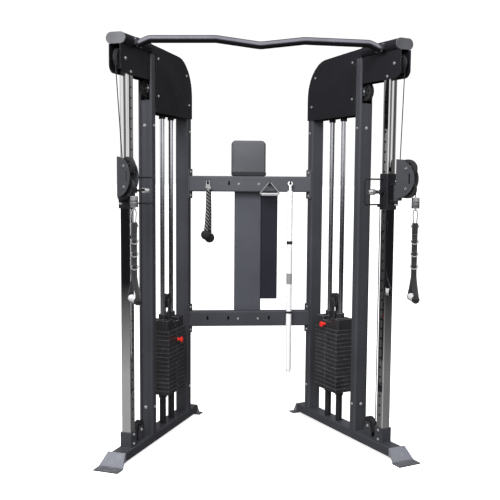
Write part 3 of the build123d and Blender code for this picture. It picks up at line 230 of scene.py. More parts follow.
def gloss_black():
    """Gloss black coat on the pull-up bar, with a painted highlight: a pale band put into the base colour
    along the side that faces up and out.
    """
    coat = Surface("bar_coat_painted_highlight", (0.02, 0.02, 0.022), metallic=0.9, roughness=0.2)
    slope = coat.split(coat.add("ShaderNodeNewGeometry").outputs["Normal"])["Z"]
    rise = coat.math("ADD", coat.math("MULTIPLY", slope, 2.2), 0.7)
    fall = coat.math("SUBTRACT", 3.2, coat.math("MULTIPLY", slope, 3.6))
    # Painted highlight: each point's share of the pale band comes from the way its surface faces, broken up
    # a little by noise.
    share = coat.math("MULTIPLY", coat.clamped(rise), coat.clamped(fall))
    highlight_patchiness = coat.ramp(coat.noise(7.0, 3.0), 0.85, 1.1)
    share = coat.math("MULTIPLY", share, highlight_patchiness)
    coat.bump(coat.noise(1400.0, 2.0), 0.0001, 0.25)
    return coat.put(("Base Color", coat.mix(share, (0.012, 0.012, 0.014), (0.27, 0.26, 0.3))))


def bowed_chrome():
    """Chrome on the square columns, whose faces bow out a little, as drawn tube does."""
    metal = Surface("column_chrome", (0.78, 0.8, 0.81), metallic=1.0, roughness=0.07)
    place = metal.split(metal.place)
    out = metal.math("SUBTRACT", metal.math("ABSOLUTE", place["X"]), TOWER_X)
    back = metal.math("SUBTRACT", place["Y"], TOWER_Y)
    squares = []
    for first, second in ((-math.sin(TURN), math.cos(TURN)), (-math.cos(TURN), -math.sin(TURN))):
        along = metal.math("ADD", metal.math("MULTIPLY", out, first), metal.math("MULTIPLY", back, second))
        squares.append(metal.math("MULTIPLY", along, along))
    swell = metal.math("MULTIPLY", metal.math("ADD", *squares), -1.5)
    wave = metal.math("MULTIPLY", metal.noise(5.0, 1.0, (1, 1, 0.25)), 0.0004)
    metal.bump(metal.math("ADD", swell, wave), 1.0)
    tone = metal.ramp(metal.noise(5.0, 3.0), (0.76, 0.75, 0.74), (0.82, 0.81, 0.8))
    gloss = metal.ramp(metal.noise(24.0, 5.0, (1, 1, 0.06)), 0.02, 0.045)
    return metal.put(("Base Color", tone), ("Roughness", gloss))


def plated(name, colour, roughness, haze, stretch=(1, 1, 1)):
    """Plated or polished metal with a faint haze and fine handling marks."""
    metal = Surface(name, colour, metallic=1.0, roughness=roughness)
    metal.rounded_edges(0.0008)
    gloss = metal.ramp(metal.noise(14.0, 5.0, stretch), roughness, roughness + haze)
    tone = metal.ramp(metal.noise(5.0, 3.0), scaled(colour, 0.94), colour)
    metal.bump(metal.noise(220.0, 3.0, stretch), 0.00004, 0.25)
    return metal.put(("Base Color", tone), ("Roughness", gloss))


def moulded(name, colour, roughness, grain=900.0):
    """Moulded plastic or rubber with a fine spark-eroded grain."""
    plastic = Surface(name, colour, roughness=roughness, specular=0.4)
    plastic.rounded_edges(0.0008)
    tone = plastic.ramp(plastic.noise(12.0, 3.0), scaled(colour, 0.85), scaled(colour, 1.15))
    gloss = plastic.ramp(plastic.noise(30.0, 3.0), roughness - 0.06, roughness + 0.08)
    plastic.bump(plastic.noise(grain, 1.0), 0.0001, 0.4)
    return plastic.put(("Base Color", tone), ("Roughness", gloss))


CHARCOAL, SHROUD, DEEP = (0.034, 0.035, 0.041), (0.0075, 0.0075, 0.0095), (0.0085, 0.0085, 0.0105)
paints = {
    "charcoal": powder_coat("charcoal_coat", CHARCOAL, 0.36),
    # Painted light: the upper crossbeam's coat is a lighter copy of the charcoal coat, for the light from
    # above that it catches more than the lower crossbeam.
    "beam": powder_coat("upper_beam_lit_coat", (0.056, 0.058, 0.066), 0.36),
    "pull_up": gloss_black(),
    "shroud": powder_coat("shroud_coat", SHROUD, 0.5, specular=0.3),
    "black": powder_coat("black_coat", DEEP, 0.36),
    "spine": powder_coat("spine_coat", (0.051, 0.053, 0.064), 0.46),
    "panel": powder_coat("panel_coat", (0.0125, 0.013, 0.019), 0.5, specular=0.25),
    "cheek": powder_coat("cheek_coat", (0.031, 0.032, 0.036), 0.42),
}
CHROME = bowed_chrome()
ROD = plated("rod_chrome", (0.72, 0.73, 0.76), 0.12, 0.06, (1, 1, 0.03))
BRIGHT = plated("bright_chrome", (0.84, 0.84, 0.85), 0.1, 0.06)
ZINC = plated("axle_zinc", (0.88, 0.88, 0.87), 0.3, 0.1)
STEEL = plated("hook_steel", (0.86, 0.86, 0.87), 0.24, 0.1)
CAP = moulded("cap_plastic", (0.066, 0.067, 0.072), 0.5)
NYLON = moulded("pulley_nylon", (0.016, 0.016, 0.017), 0.34, 600.0)
RUBBER = moulded("black_rubber", (0.014, 0.014, 0.015), 0.62)
CABLE_COAT = moulded("cable_coat", (0.012, 0.012, 0.013), 0.3)
STOPPER_GREY = moulded("stopper_plastic", (0.07, 0.07, 0.074), 0.42)


def plated_bolts():
    """Zinc bolts and axles; the accessory hooks and their washers on the crossbeam are black."""
    bolt = Surface("zinc_plate", (0.88, 0.88, 0.88), metallic=1.0, roughness=0.3)
    near = 0.0
    for hook_x in HOOK_PLACES:
        near = bolt.math("MAXIMUM", bolt.within((hook_x, BEAM_FRONT - 0.015, HOOK_Z), 0.033), near)
    tone = bolt.mix(near, (0.88, 0.88, 0.88), (0.02, 0.02, 0.022))
    bolt.bump(bolt.noise(220.0, 3.0), 0.00004, 0.25)
    return bolt.put(("Base Color", tone), ("Metallic", bolt.math("SUBTRACT", 1.0, near)))


def painted_foot():
    """Foot plates: light grey on the slope and scuffed, with the lip on the floor darker as painted shade;
    slope and lip are one paint.
    """
    coat = Surface("foot_coat", (0.19, 0.19, 0.21), roughness=0.42)
    coat.rounded_edges(0.001)
    height = coat.split(coat.place)["Z"]
    # Painted shade: the lip near the floor is darker than the slope above it.
    low = coat.ramp(height, (0.035, 0.036, 0.04), (0.16, 0.165, 0.19), 0.004, 0.012)
    scuff = coat.ramp(coat.noise(45.0, 5.0), 0.0, 0.35, 0.52, 0.72)
    coat.bump(coat.noise(1200.0), 0.0001, 0.35)
    return coat.put(("Base Color", coat.mix(scuff, low, (0.3, 0.3, 0.31))))


def plate_enamel():
    """Cast weight plates: black enamel with pale lines along every edge, partly rubbing wear and partly
    painted highlights.
    """
    iron = Surface("plate_enamel", (0.014, 0.014, 0.015), roughness=0.42)
    edge = iron.rounded_edges(0.0028)
    # Pale marks along the edges: painted highlights together with rubbing wear.
    marks = iron.math("MULTIPLY", edge, iron.ramp(iron.noise(90.0, 4.0), 0.6, 2.6))
    tone = iron.ramp(iron.noise(16.0, 3.0), (0.011, 0.011, 0.012), (0.02, 0.02, 0.022))
    iron.bump(iron.noise(500.0, 3.0), 0.0002, 0.35)
    return iron.put(("Base Color", iron.mix(marks, tone, (0.46, 0.46, 0.48))))


def knobbed_pin(side):
    """A steel selector pin with a glossy red knob."""
    pin = Surface(f"red_knob_{side}", (0.6, 0.02, 0.015), roughness=0.22)
    knob = pin.within(machine(side, STACK_S, 0.091, PIN_Z[side]), 0.0262)
    tone = pin.mix(knob, (0.5, 0.5, 0.5), (0.62, 0.02, 0.012))
    pin.bump(pin.noise(300.0), 0.00006, 0.3)
    return pin.put(("Base Color", tone), ("Metallic", pin.math("SUBTRACT", 1.0, knob)))


def dark_spring_pin(side):
    """The pop pin: a plated pull knob on a black spring housing."""
    pin = Surface(f"pop_knob_{side}", (0.7, 0.7, 0.7), roughness=0.16)
    knob = pin.within(machine(side, 0.0, 0.104, POP_PIN_Z), 0.029)
    tone = pin.mix(knob, (0.05, 0.05, 0.052), (0.78, 0.78, 0.78))
    pin.bump(pin.noise(400.0), 0.00005, 0.3)
    return pin.put(("Base Color", tone), ("Metallic", knob))


def knurled_bar():
    """The long bar: bright chrome, a knurled middle and black bands."""
    bar = Surface("bar_chrome", (0.9, 0.9, 0.91), metallic=1.0, roughness=0.2)
    height = bar.split(bar.place)["Z"]

    def between(low, high):
        return bar.math("MULTIPLY", bar.math("GREATER_THAN", height, low),
                        bar.math("LESS_THAN", height, high))

    knurl = between(0.824, 0.886)
    bands = bar.math("ADD", between(1.055, 1.073), between(0.651, 0.665))
    tone = bar.mix(knurl, (0.95, 0.95, 0.97), (0.3, 0.3, 0.3))
    tone = bar.mix(bands, tone, (0.02, 0.02, 0.02))
    metal = bar.math("MULTIPLY", bar.math("SUBTRACT", 1.0, bands), 0.3)
    rough = bar.math("ADD", bar.math("MULTIPLY", knurl, 0.35), 0.12)
    waves = []
    for sign in (1, -1):
        mapping = bar.add("ShaderNodeMapping")
        mapping.inputs["Rotation"].default_value = (0, math.radians(45 * sign), 0)
        bar.link(bar.place, mapping.inputs["Vector"])
        wave = bar.add("ShaderNodeTexWave")
        wave.inputs["Scale"].default_value = 260.0
        bar.link(mapping.outputs[0], wave.inputs["Vector"])
        waves.append(wave.outputs["Fac"])
    bar.bump(bar.math("MULTIPLY", bar.math("MULTIPLY", *waves), knurl), 0.0006, 0.8)
    return bar.put(("Base Color", tone), ("Metallic", metal), ("Roughness", rough))


def vinyl(name, colour):
    """Upholstery vinyl: leather grain, soft creasing and a low sheen."""
    skin = Surface(name, colour, roughness=0.48, specular=0.45)
    cells = skin.add("ShaderNodeTexVoronoi", feature="DISTANCE_TO_EDGE")
    cells.inputs["Scale"].default_value = 620.0
    skin.link(skin.place, cells.inputs["Vector"])
    tone = skin.ramp(skin.noise(7.0, 4.0), scaled(colour, 0.9), scaled(colour, 1.1))
    skin.shader.inputs["Sheen Weight"].default_value = 0.12
    skin.bump(cells.outputs["Distance"], 0.0004, 0.35)
    skin.bump(skin.noise(40.0, 3.0), 0.0006, 0.25)
    return skin.put(("Base Color", tone))


def woven(name, colour, pitch):
    """Woven nylon webbing: a fine two-way weave with a soft sheen."""
    cloth = Surface(name, colour, roughness=0.8, specular=0.3)
    heights = []
    for axis in ("X", "Z"):
        wave = cloth.add("ShaderNodeTexWave", bands_direction=axis)
        wave.inputs["Scale"].default_value = pitch
        wave.inputs["Distortion"].default_value = 0.6
        cloth.link(cloth.place, wave.inputs["Vector"])
        heights.append(wave.outputs["Fac"])
    weave = cloth.math("MULTIPLY", *heights)
    tone = cloth.ramp(weave, scaled(colour, 0.7), scaled(colour, 1.35), 0.1, 0.9)
    cloth.shader.inputs["Sheen Weight"].default_value = 0.4
    cloth.shader.inputs["Sheen Roughness"].default_value = 0.5
    cloth.bump(weave, 0.0005, 0.6)
    return cloth.put(("Base Color", tone))


WEBBING = woven("webbing_weave", (0.014, 0.014, 0.0155), 210.0)
ROPE = woven("rope_fibre", (0.26, 0.26, 0.265), 420.0)
ROPE_DARK = moulded("rope_fibre_dark", (0.004, 0.004, 0.0045), 0.6)
PAD_VINYL = vinyl("pad_vinyl", (0.066, 0.068, 0.076))
PAD_EDGE = vinyl("pad_edge_vinyl", (0.015, 0.0155, 0.019))


def dress(material, *names):
    for name in names:
        mesh = NODES[name].data
        mesh.materials.clear()
        mesh.materials.append(material)


def pair(*names):
    return [f"{name}_{side}" for name in names for side in SIDES]


dress(paints["charcoal"], "base_rails", "front_uprights", "rear_uprights", "lower_crossbeam")
dress(paints["beam"], "upper_crossbeam")
dress(paints["pull_up"], "pull_up_bar")
dress(paints["shroud"], "shroud_panels", "pulley_hangers", "top_arms")
dress(paints["black"], "stack_stands", *pair("carriage"))
dress(paints["cheek"], *pair("swivel_block"))
dress(paints["spine"], "centre_spine")
dress(paints["panel"], "side_panel")
dress(painted_foot(), "floor_feet")
dress(plate_enamel(), "weight_plates", *pair("stack_head"))
dress(CAP, "arm_end_caps")
dress(CHROME, "guide_columns")
dress(ROD, "guide_rods")
dress(BRIGHT, "triangle_handle")
dress(knurled_bar(), "long_bar")
dress(plated_bolts(), "frame_bolts")
dress(STEEL, "rope_fitting", *pair("handle_hardware"))
dress(RUBBER, "stack_bumpers", "rope_balls")
dress(CABLE_COAT, "fixed_cables")
dress(NYLON, *pair("exit_pulley_upper", "exit_pulley_lower", "floating_pulley", "top_pulley",
                   "shroud_rear_pulley", "shroud_front_pulley", "upright_pulley", "base_pulley"))
for pin_side in SIDES:
    dress(knobbed_pin(pin_side), f"selector_pin_{pin_side}")
    dress(dark_spring_pin(pin_side), f"pop_pin_{pin_side}")


# ---- mesh helpers ---------------------------------------------------------------------------
def mesh_piece(name, vertices, faces, material, smooth=True):
    mesh = bpy.data.meshes.new(name)
    mesh.from_pydata([tuple(v) for v in vertices], [], faces)
    mesh.materials.append(material)
    made = bmesh.new()
    made.from_mesh(mesh)
    bmesh.ops.recalc_face_normals(made, faces=made.faces)
    made.to_mesh(mesh)
    made.free()
    for face in mesh.polygons:
        face.use_smooth = smooth
    piece = bpy.data.objects.new(name, mesh)
    bpy.context.scene.collection.objects.link(piece)
    return piece


def frames_along(points):
    """A steady pair of cross directions for each point of a line."""
    tangents = []
    for index in range(len(points)):
        before, after = points[max(index - 1, 0)], points[min(index + 1, len(points) - 1)]
        tangents.append((after - before).normalized())
    first = Vector((1, 0, 0)) if abs(tangents[0].x) < 0.9 else Vector((0, 1, 0))
    across = (first - tangents[0] * first.dot(tangents[0])).normalized()
    pairs = []
    for tangent in tangents:
        across = (across - tangent * across.dot(tangent)).normalized()
        pairs.append((across, tangent.cross(across)))
    return pairs


def skin(rows, sides, first=0):
    """Faces over rings of vertices that lie one after another, with both ends closed."""
    faces = []
    for row in range(rows - 1):
        here, above = first + row * sides, first + (row + 1) * sides
        for step in range(sides):
            after = (step + 1) % sides
            faces.append((here + step, here + after, above + after, above + step))
    last = first + (rows - 1) * sides
    return faces + [tuple(range(first, first + sides)), tuple(range(last, last + sides))]


def circles_along(points, radius, sides):
    """Vertices of a round ring at each point of a line."""
    vertices = []
    for point, (across, other) in zip(points, frames_along(points)):
        for step in range(sides):
            angle = 2 * math.pi * step / sides
            vertices.append(point + radius * (across * math.cos(angle) + other * math.sin(angle)))
    return vertices


def tube(name, points, radius, material, sides):
    """A closed round tube of one radius along the points."""
    return mesh_piece(name, circles_along(points, radius, sides), skin(len(points), sides), material)


def straight(start, end, count):
    return [start.lerp(end, step / (count - 1)) for step in range(count)]


def route_points(points):
    """Points read from the NURBS spline that a cord's route makes."""
    curve = bpy.data.curves.new("route", "CURVE")
    curve.dimensions = "3D"
    spline = curve.splines.new("NURBS")
    spline.points.add(len(points) - 1)
    for control, point in zip(spline.points, points):
        control.co = (*point, 1)
    spline.order_u = 3
    spline.use_endpoint_u = True
    spline.resolution_u = 12
    holder = bpy.data.objects.new("route", curve)
    line = bpy.data.meshes.new_from_object(holder)
    found = [v.co.copy() for v in line.vertices]
    bpy.data.objects.remove(holder)
    bpy.data.curves.remove(curve)
    bpy.data.meshes.remove(line)
    return found


def resampled(points, count):
    """The same line with evenly spaced points."""
    marks = [0.0]
    for before, after in zip(points, points[1:]):
        marks.append(marks[-1] + (after - before).length)
    found, place = [], 0
    for step in range(count):
        wanted = marks[-1] * step / (count - 1)
        while place < len(points) - 2 and marks[place + 1] < wanted:
            place += 1
        share = (wanted - marks[place]) / (marks[place + 1] - marks[place])
        found.append(points[place].lerp(points[place + 1], share))
    return found


# ---- camera ---------------------------------------------------------------------------------
CAMERA_PLACE, CAMERA_LENS = (-0.34587, -3.87449 + TOWER_Y, 1.40992), 55.89


def add_camera():
    """The camera stands a little left of the middle, and looks to the right and slightly down."""
    yaw, pitch, roll = 0.0777, -0.0870, 0.0073
    camera = bpy.data.objects.new("camera", bpy.data.cameras.new("camera"))
    bpy.context.scene.collection.objects.link(camera)
    camera.data.sensor_width = 36.0
    camera.data.lens = CAMERA_LENS
    forward = Vector((math.sin(yaw) * math.cos(pitch), math.cos(yaw) * math.cos(pitch), math.sin(pitch)))
    right = forward.cross(Vector((0, 0, 1))).normalized()
    up = right.cross(forward)
    turned_right = right * math.cos(roll) + up * math.sin(roll)
    turned_up = up * math.cos(roll) - right * math.sin(roll)
    place = Matrix((turned_right, turned_up, -forward)).transposed().to_4x4()
    place.translation = CAMERA_PLACE
    camera.matrix_world = place
    bpy.context.scene.camera = camera


add_camera()


# ---- cables that stretch between bodies -----------------------------------------------------
def top_leave(side):
    """Where the cable leaves the top pulley for the swivel block."""
    angle = SWIVEL_TURN[side]
    entry_s = SWIVEL_S - CABLE_ENTRY * math.cos(angle)
    entry_t = CABLE_ENTRY * math.sin(angle)
    ds, dz = entry_s - TOP_S, ENTRY_Z - HIGH_Z
    leave = math.atan2(dz, ds) % (2 * math.pi) - math.acos(PULLEY_CABLE / math.hypot(ds, dz))
    start = machine(side, TOP_S + PULLEY_CABLE * math.cos(leave), 0,
                    HIGH_Z + PULLEY_CABLE * math.sin(leave))
    return start, machine(side, entry_s, entry_t, ENTRY_Z)


def stretching_cable(name, start, end):
    piece = tube(name, straight(start, end, 48), CABLE, CABLE_COAT, 12)
    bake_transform(piece)
    return piece


for cable_side in SIDES:
    high_start, high_end = top_leave(cable_side)
    upper = stretching_cable(f"cable_to_block_{cable_side}", high_start, high_end)
    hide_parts("column_cables")
    stretching_cable(f"cable_to_anchor_{cable_side}", machine(cable_side, ANCHOR_S, 0, BASE_Z),
                     machine(cable_side, ANCHOR_S, 0, ANCHOR_Z))
    front_lift = stretching_cable(f"cable_lift_front_{cable_side}",
                                  machine(cable_side, FRONT_LIFT_S, 0, LOW_Z),
                                  machine(cable_side, FRONT_LIFT_S, 0, FLOAT_Z))
    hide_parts("lift_cables")
    stretching_cable(f"cable_lift_rear_{cable_side}", machine(cable_side, REAR_LIFT_S, 0, HIGH_Z),
                     machine(cable_side, REAR_LIFT_S, 0, FLOAT_Z))
    stretching_cable(f"cable_handle_{cable_side}", swivel(cable_side, HANG_REACH, 0, EXIT_LOW_Z),
                     swivel(cable_side, HANG_REACH, 0, STOPPER_TOP - 0.001))


# ---- free cords: rope legs and pin lanyards -------------------------------------------------
def strand_line(points, reach, lead, pitch):
    """A helix round the points that starts at a share of a turn."""
    run, line = 0.0, []
    for index, (point, (across, other)) in enumerate(zip(points, frames_along(points))):
        if index:
            run += (point - points[index - 1]).length
        angle = 2 * math.pi * (lead - run / pitch)
        line.append(point + reach * (across * math.cos(angle) + other * math.sin(angle)))
    return line


def twisted(name, points, radius, pitch, materials):
    """Six strands laid round the points as one piece, thin pale ones and thick dark ones by turns."""
    sides, strands = 10, 6
    vertices, faces, kinds = [], [], []
    for number in range(strands):
        kind = number % 2
        thickness, reach = ((0.24, 0.76), (0.48, 0.5))[kind]
        line = strand_line(points, reach * radius, number / strands, pitch)
        new_faces = skin(len(line), sides, len(vertices))
        vertices += circles_along(line, thickness * radius, sides)
        faces += new_faces
        kinds += [kind] * len(new_faces)
    piece = mesh_piece(name, vertices, faces, materials[0])
    piece.data.materials.append(materials[1])
    for face, kind in zip(piece.data.polygons, kinds):
        face.material_index = kind
    return piece


def lathe(name, profile, place, material, sides=48):
    """A turned piece: (radius, height) points round a placing matrix's Z axis."""
    vertices = []
    for radius, height in profile:
        for step in range(sides):
            angle = 2 * math.pi * step / sides
            vertices.append(place @ Vector((radius * math.cos(angle), radius * math.sin(angle), height)))
    return mesh_piece(name, vertices, skin(len(profile), sides), material)


ROPE_ROUTES = (
    ((0.0005, -0.018, ROPE_TOP), (0, -0.0185, 1.290), (-0.003, -0.019, 1.205), (-0.011, -0.020, 1.129)),
    ((0.006, 0.008, ROPE_TOP), (0.008, 0.009, 1.300), (0.010, 0.020, 1.195), (0.010, 0.0315, 1.109)),
)
BALL_RADIUS, BALL_FLAT = 0.029, 0.019


def rope_ball(name, top):
    """A rubber stopper ball: flat collar where the rope enters, a moulded seam and a rounded foot."""
    profile = []
    for step in range(25):
        angle = math.acos(BALL_FLAT / BALL_RADIUS) + (math.pi - 0.25) * step / 24 * 0.75
        seam = 0.0006 if step in (11, 12) else 0.0
        profile.append(((BALL_RADIUS + seam) * math.sin(angle), BALL_RADIUS * math.cos(angle)))
    collar = [(0.0145, BALL_FLAT + 0.005), (0.019, BALL_FLAT + 0.004), (0.0205, BALL_FLAT)]
    place = Matrix.Translation(top - Vector((0, 0, BALL_FLAT)))
    return lathe(name, collar + profile, place, RUBBER)


for index, rope_route in enumerate(ROPE_ROUTES):
    rope_line = route_points([Vector((ROPE_X + x, ACCESSORY_Y + y, z)) for x, y, z in rope_route])
    dense_line = resampled(rope_line, 90)
    rope = twisted(f"rope_leg_{index + 1}", dense_line, ROPE_RADIUS, 0.060, (ROPE, ROPE_DARK))
    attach(rope, "rope_set")
    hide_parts("rope_legs")
    ball = rope_ball(f"rope_ball_{index + 1}", rope_line[-1])
    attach(ball, "rope_set")
    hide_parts("rope_balls")

LANYARD_ROUTES = {
    "left": ((0.040, 0.054, 0.639), (0.039, 0.064, 0.621), (0.032, 0.076, 0.595),
             (0.020, 0.086, 0.571), (0.003, 0.0925, PIN_Z["left"] + 0.0175)),
    "right": ((0.040, 0.054, 0.639), (0.042, 0.070, 0.633), (0.044, 0.082, 0.611), (0.042, 0.087, 0.585),
              (0.028, 0.089, 0.567), (0.008, 0.0905, 0.569), (0.001, 0.0925, PIN_Z["right"] - 0.0175)),
}
LANYARD_RADIUS = 0.0015
for cord_side, lanyard_route in LANYARD_ROUTES.items():
    lanyard_line = route_points([machine(cord_side, STACK_S + s, t, z) for s, t, z in lanyard_route])
    lanyard = tube(f"lanyard_cord_{cord_side}", lanyard_line, LANYARD_RADIUS, CABLE_COAT, 10)
    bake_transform(lanyard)
    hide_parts(f"lanyard_{cord_side}")


# ---- handles: webbing, stitching and grips --------------------------------------------------
def ribbon(name, side, line, width, thick):
    """Flat webbing with rounded edges that follows (along, z) points of a handle's own frame."""
    middle = route_points([Vector((along, 0, z)) for along, z in line])
    half, lip = width / 2, thick / 2
    outline = [(-half, 0), (-half + lip, lip), (half - lip, lip),
               (half, 0), (half - lip, -lip), (-half + lip, -lip)]
    vertices = []
    for index, point in enumerate(middle):
        before, after = middle[max(index - 1, 0)], middle[min(index + 1, len(middle) - 1)]
        tangent = (after - before).normalized()
        out = Vector((tangent.z, 0, -tangent.x))
        for across, lift in outline:
            spot = point + out * lift
            vertices.append(hanging(side, spot.x, across, spot.z))
    piece = mesh_piece(name, vertices, skin(len(middle), len(outline)), WEBBING)
    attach(piece, f"handle_{side}")
    return piece


def stitches(name, side, places):
    """Short raised threads at (along, across, z) points of a handle's own frame, as one piece."""
    joined = bmesh.new()
    for along, across, z, lean in places:
        line = [hanging(side, along, across + lean * end, z + 0.0016 * end) for end in (-1, 0, 1)]
        thread = tube("thread", line, 0.00035, THREAD, 6)
        joined.from_mesh(thread.data)
        bpy.data.objects.remove(thread)
    mesh = bpy.data.meshes.new(name)
    joined.to_mesh(mesh)
    joined.free()
    mesh.materials.append(THREAD)
    piece = bpy.data.objects.new(name, mesh)
    bpy.context.scene.collection.objects.link(piece)
    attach(piece, f"handle_{side}")


THREAD = woven("stitch_thread", (0.11, 0.11, 0.115), 900.0)
FOAM = moulded("grip_sleeve", (0.5, 0.5, 0.51), 0.35, 700.0)
END_X = GRIP_LENGTH / 2


def add_straps(side):
    """The webbing strap with its top loop, the two legs of its grip loop and the keepers of its rings."""
    strap = ribbon(f"strap_main_{side}", side,
                   [(0.0, RING_TOP + 0.006), (0.0, 1.15), (0.0, 1.05), (0.0, STRAP_JOIN - 0.004)],
                   STRAP_WIDTH, 0.0036)
    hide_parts(f"handle_webbing_{side}")
    ribbon(f"strap_top_loop_{side}", side,
           [(0.0032, 1.165), (0.0034, 1.195), (0.0052, 1.2105), (0.0, 1.2165), (-0.0052, 1.2105),
            (-0.0034, 1.195), (-0.0032, 1.165)], STRAP_WIDTH, 0.0022)
    for end, sign in (("a", -1), ("b", 1)):
        ribbon(f"strap_loop_{end}_{side}", side,
               [(sign * 0.002, STRAP_JOIN + 0.03), (sign * 0.003, STRAP_JOIN),
                (sign * 0.014, STRAP_JOIN - 0.024), (sign * 0.046, GRIP_Z + 0.044),
                (sign * (END_X + 0.006), GRIP_Z + 0.022), (sign * (END_X + 0.011), GRIP_Z + 0.006),
                (sign * (END_X + 0.004), GRIP_Z), (sign * (END_X - 0.012), GRIP_Z), (0.0, GRIP_Z)],
               STRAP_WIDTH - 0.002, 0.0026)
    for level, ring_z in enumerate(RING_PLACES):
        ribbon(f"ring_keeper_{level + 1}_{side}", side,
               [(-0.0025, ring_z - 0.013), (-0.0042, ring_z - 0.006), (-0.0086, ring_z - 0.002),
                (-0.0086, ring_z + 0.002), (-0.0042, ring_z + 0.006), (-0.0025, ring_z + 0.013)],
               STRAP_WIDTH - 0.005, 0.0018)


def add_stitching(side):
    """Bars of stitches beside each ring and at both ends, and a seam along each edge of the strap."""
    places = []
    for seam_z in (*RING_PLACES, STRAP_JOIN + 0.03, 1.176):
        for step in range(8):
            for rise in (-0.0155, -0.0175):
                places.append((-0.0026, -0.0098 + 0.0028 * step, seam_z + rise, 0.0008))
    for edge in (-1, 1):
        for step in range(56):
            places.append((-0.0021, edge * (STRAP_WIDTH / 2 - 0.003), 0.975 + 0.004 * step, 0.0))
    stitches(f"stitching_{side}", side, places)


def add_grip(side):
    """The tube grip: a ribbed sleeve between two rubber collars."""
    axis = (hanging(side, 1, 0, 0) - hanging(side, 0, 0, 0)).to_track_quat("Z", "Y").to_matrix().to_4x4()
    for end, sign in (("a", -1), ("b", 1)):
        collar = lathe(f"grip_collar_{end}_{side}",
                       [(0.0155, sign * 0.001), (0.0192, sign * 0.0008), (0.0198, -sign * 0.0015),
                        (0.0198, -sign * 0.0045), (0.0186, -sign * 0.0065), (0.0181, -sign * 0.007)],
                       Matrix.Translation(hanging(side, sign * END_X, 0, GRIP_Z)) @ axis, RUBBER)
        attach(collar, f"handle_{side}")
    ribs = 60
    profile = [(0.0181, -END_X + 0.007)]
    for step in range(ribs):
        rise = -END_X + 0.008 + (GRIP_LENGTH - 0.016) * step / (ribs - 1)
        profile.append((0.0184 + 0.0003 * math.cos(step * math.pi), rise))
    profile.append((0.0181, END_X - 0.007))
    sleeve = lathe(f"grip_sleeve_{side}", profile,
                   Matrix.Translation(hanging(side, 0, 0, GRIP_Z)) @ axis, FOAM)
    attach(sleeve, f"handle_{side}")


def add_stopper(side):
    """The moulded stopper that the cable's end is caught in."""
    profile = [(0.0072, STOPPER_BOTTOM - 0.0004), (0.0138, STOPPER_BOTTOM - 0.0004),
               (0.0182, STOPPER_BOTTOM + 0.0012), (0.0199, STOPPER_BOTTOM + 0.005),
               (0.0197, STOPPER_BOTTOM + 0.022), (0.0189, STOPPER_BOTTOM + 0.024),
               (0.0197, STOPPER_BOTTOM + 0.026), (0.0192, STOPPER_TOP - 0.008),
               (0.0172, STOPPER_TOP - 0.0012), (0.013, STOPPER_TOP + 0.0004),
               (0.0030, STOPPER_TOP + 0.0004)]
    stop = lathe(f"stopper_{side}", profile, Matrix.Translation(swivel(side, HANG_REACH, 0, 0)),
                 STOPPER_GREY)
    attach(stop, f"handle_{side}")


for handle_side in SIDES:
    add_straps(handle_side)
    add_stitching(handle_side)
    add_grip(handle_side)
    add_stopper(handle_side)


# ---- axle caps on the swivel cheeks and pin caps on the carriage lugs ------------------------
DOME = ((0.0085, 0.0), (0.0085, 0.0022), (0.0078, 0.0034), (0.0056, 0.0052), (0.0028, 0.0062),
        (0.0006, 0.0064))
PIN_CAP = ((0.0104, 0.0), (0.0104, 0.0055), (0.0092, 0.0078), (0.005, 0.0092), (0.0006, 0.0095))
CAP_SIDES = 24
for cap_side in SIDES:
    for row, level in (("u", 1), ("l", -1)):
        for column, face in (("a", 1), ("b", -1)):
            seat = swivel(cap_side, EXIT_REACH, face * CHEEK_FACE, CHEEK_Z + level * EXIT_STEP)
            out = seat - swivel(cap_side, EXIT_REACH, 0, CHEEK_Z + level * EXIT_STEP)
            turned = Matrix.Translation(seat) @ out.to_track_quat("Z", "Y").to_matrix().to_4x4()
            head = lathe(f"axle_cap_{row}{column}_{cap_side}", DOME, turned, ZINC, CAP_SIDES)
            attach(head, f"swivel_{cap_side}")
    for row, height, sign in (("u", LUG_TOP, 1), ("l", LUG_BOTTOM, -1)):
        profile = [(radius, sign * rise) for radius, rise in PIN_CAP]
        cap = lathe(f"lug_cap_{row}_{cap_side}", profile,
                    Matrix.Translation(swivel(cap_side, 0, 0, height)), ZINC, CAP_SIDES)
        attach(cap, f"carriage_{cap_side}")


# ---- head pad -------------------------------------------------------------------------------
def rounded_outline(half_width, half_height, top_radius, low_radius, count=14):
    """Corner by corner round a panel whose lower corners are tighter than its upper ones."""
    points = []
    corners = ((1, 1, top_radius, 0), (-1, 1, top_radius, 90),
               (-1, -1, low_radius, 180), (1, -1, low_radius, 270))
    for sign_x, sign_z, radius, start in corners:
        centre = (sign_x * (half_width - radius), sign_z * (half_height - radius))
        for step in range(count + 1):
            angle = math.radians(start + 90 * step / count)
            points.append((centre[0] + radius * math.cos(angle), centre[1] + radius * math.sin(angle)))
    dense = []
    for a, b in zip(points, points[1:] + points[:1]):
        gap = math.hypot(b[0] - a[0], b[1] - a[1])
        parts = max(1, int(gap / 0.008))
        dense += [(a[0] + (b[0] - a[0]) * k / parts, a[1] + (b[1] - a[1]) * k / parts) for k in range(parts)]
    return dense


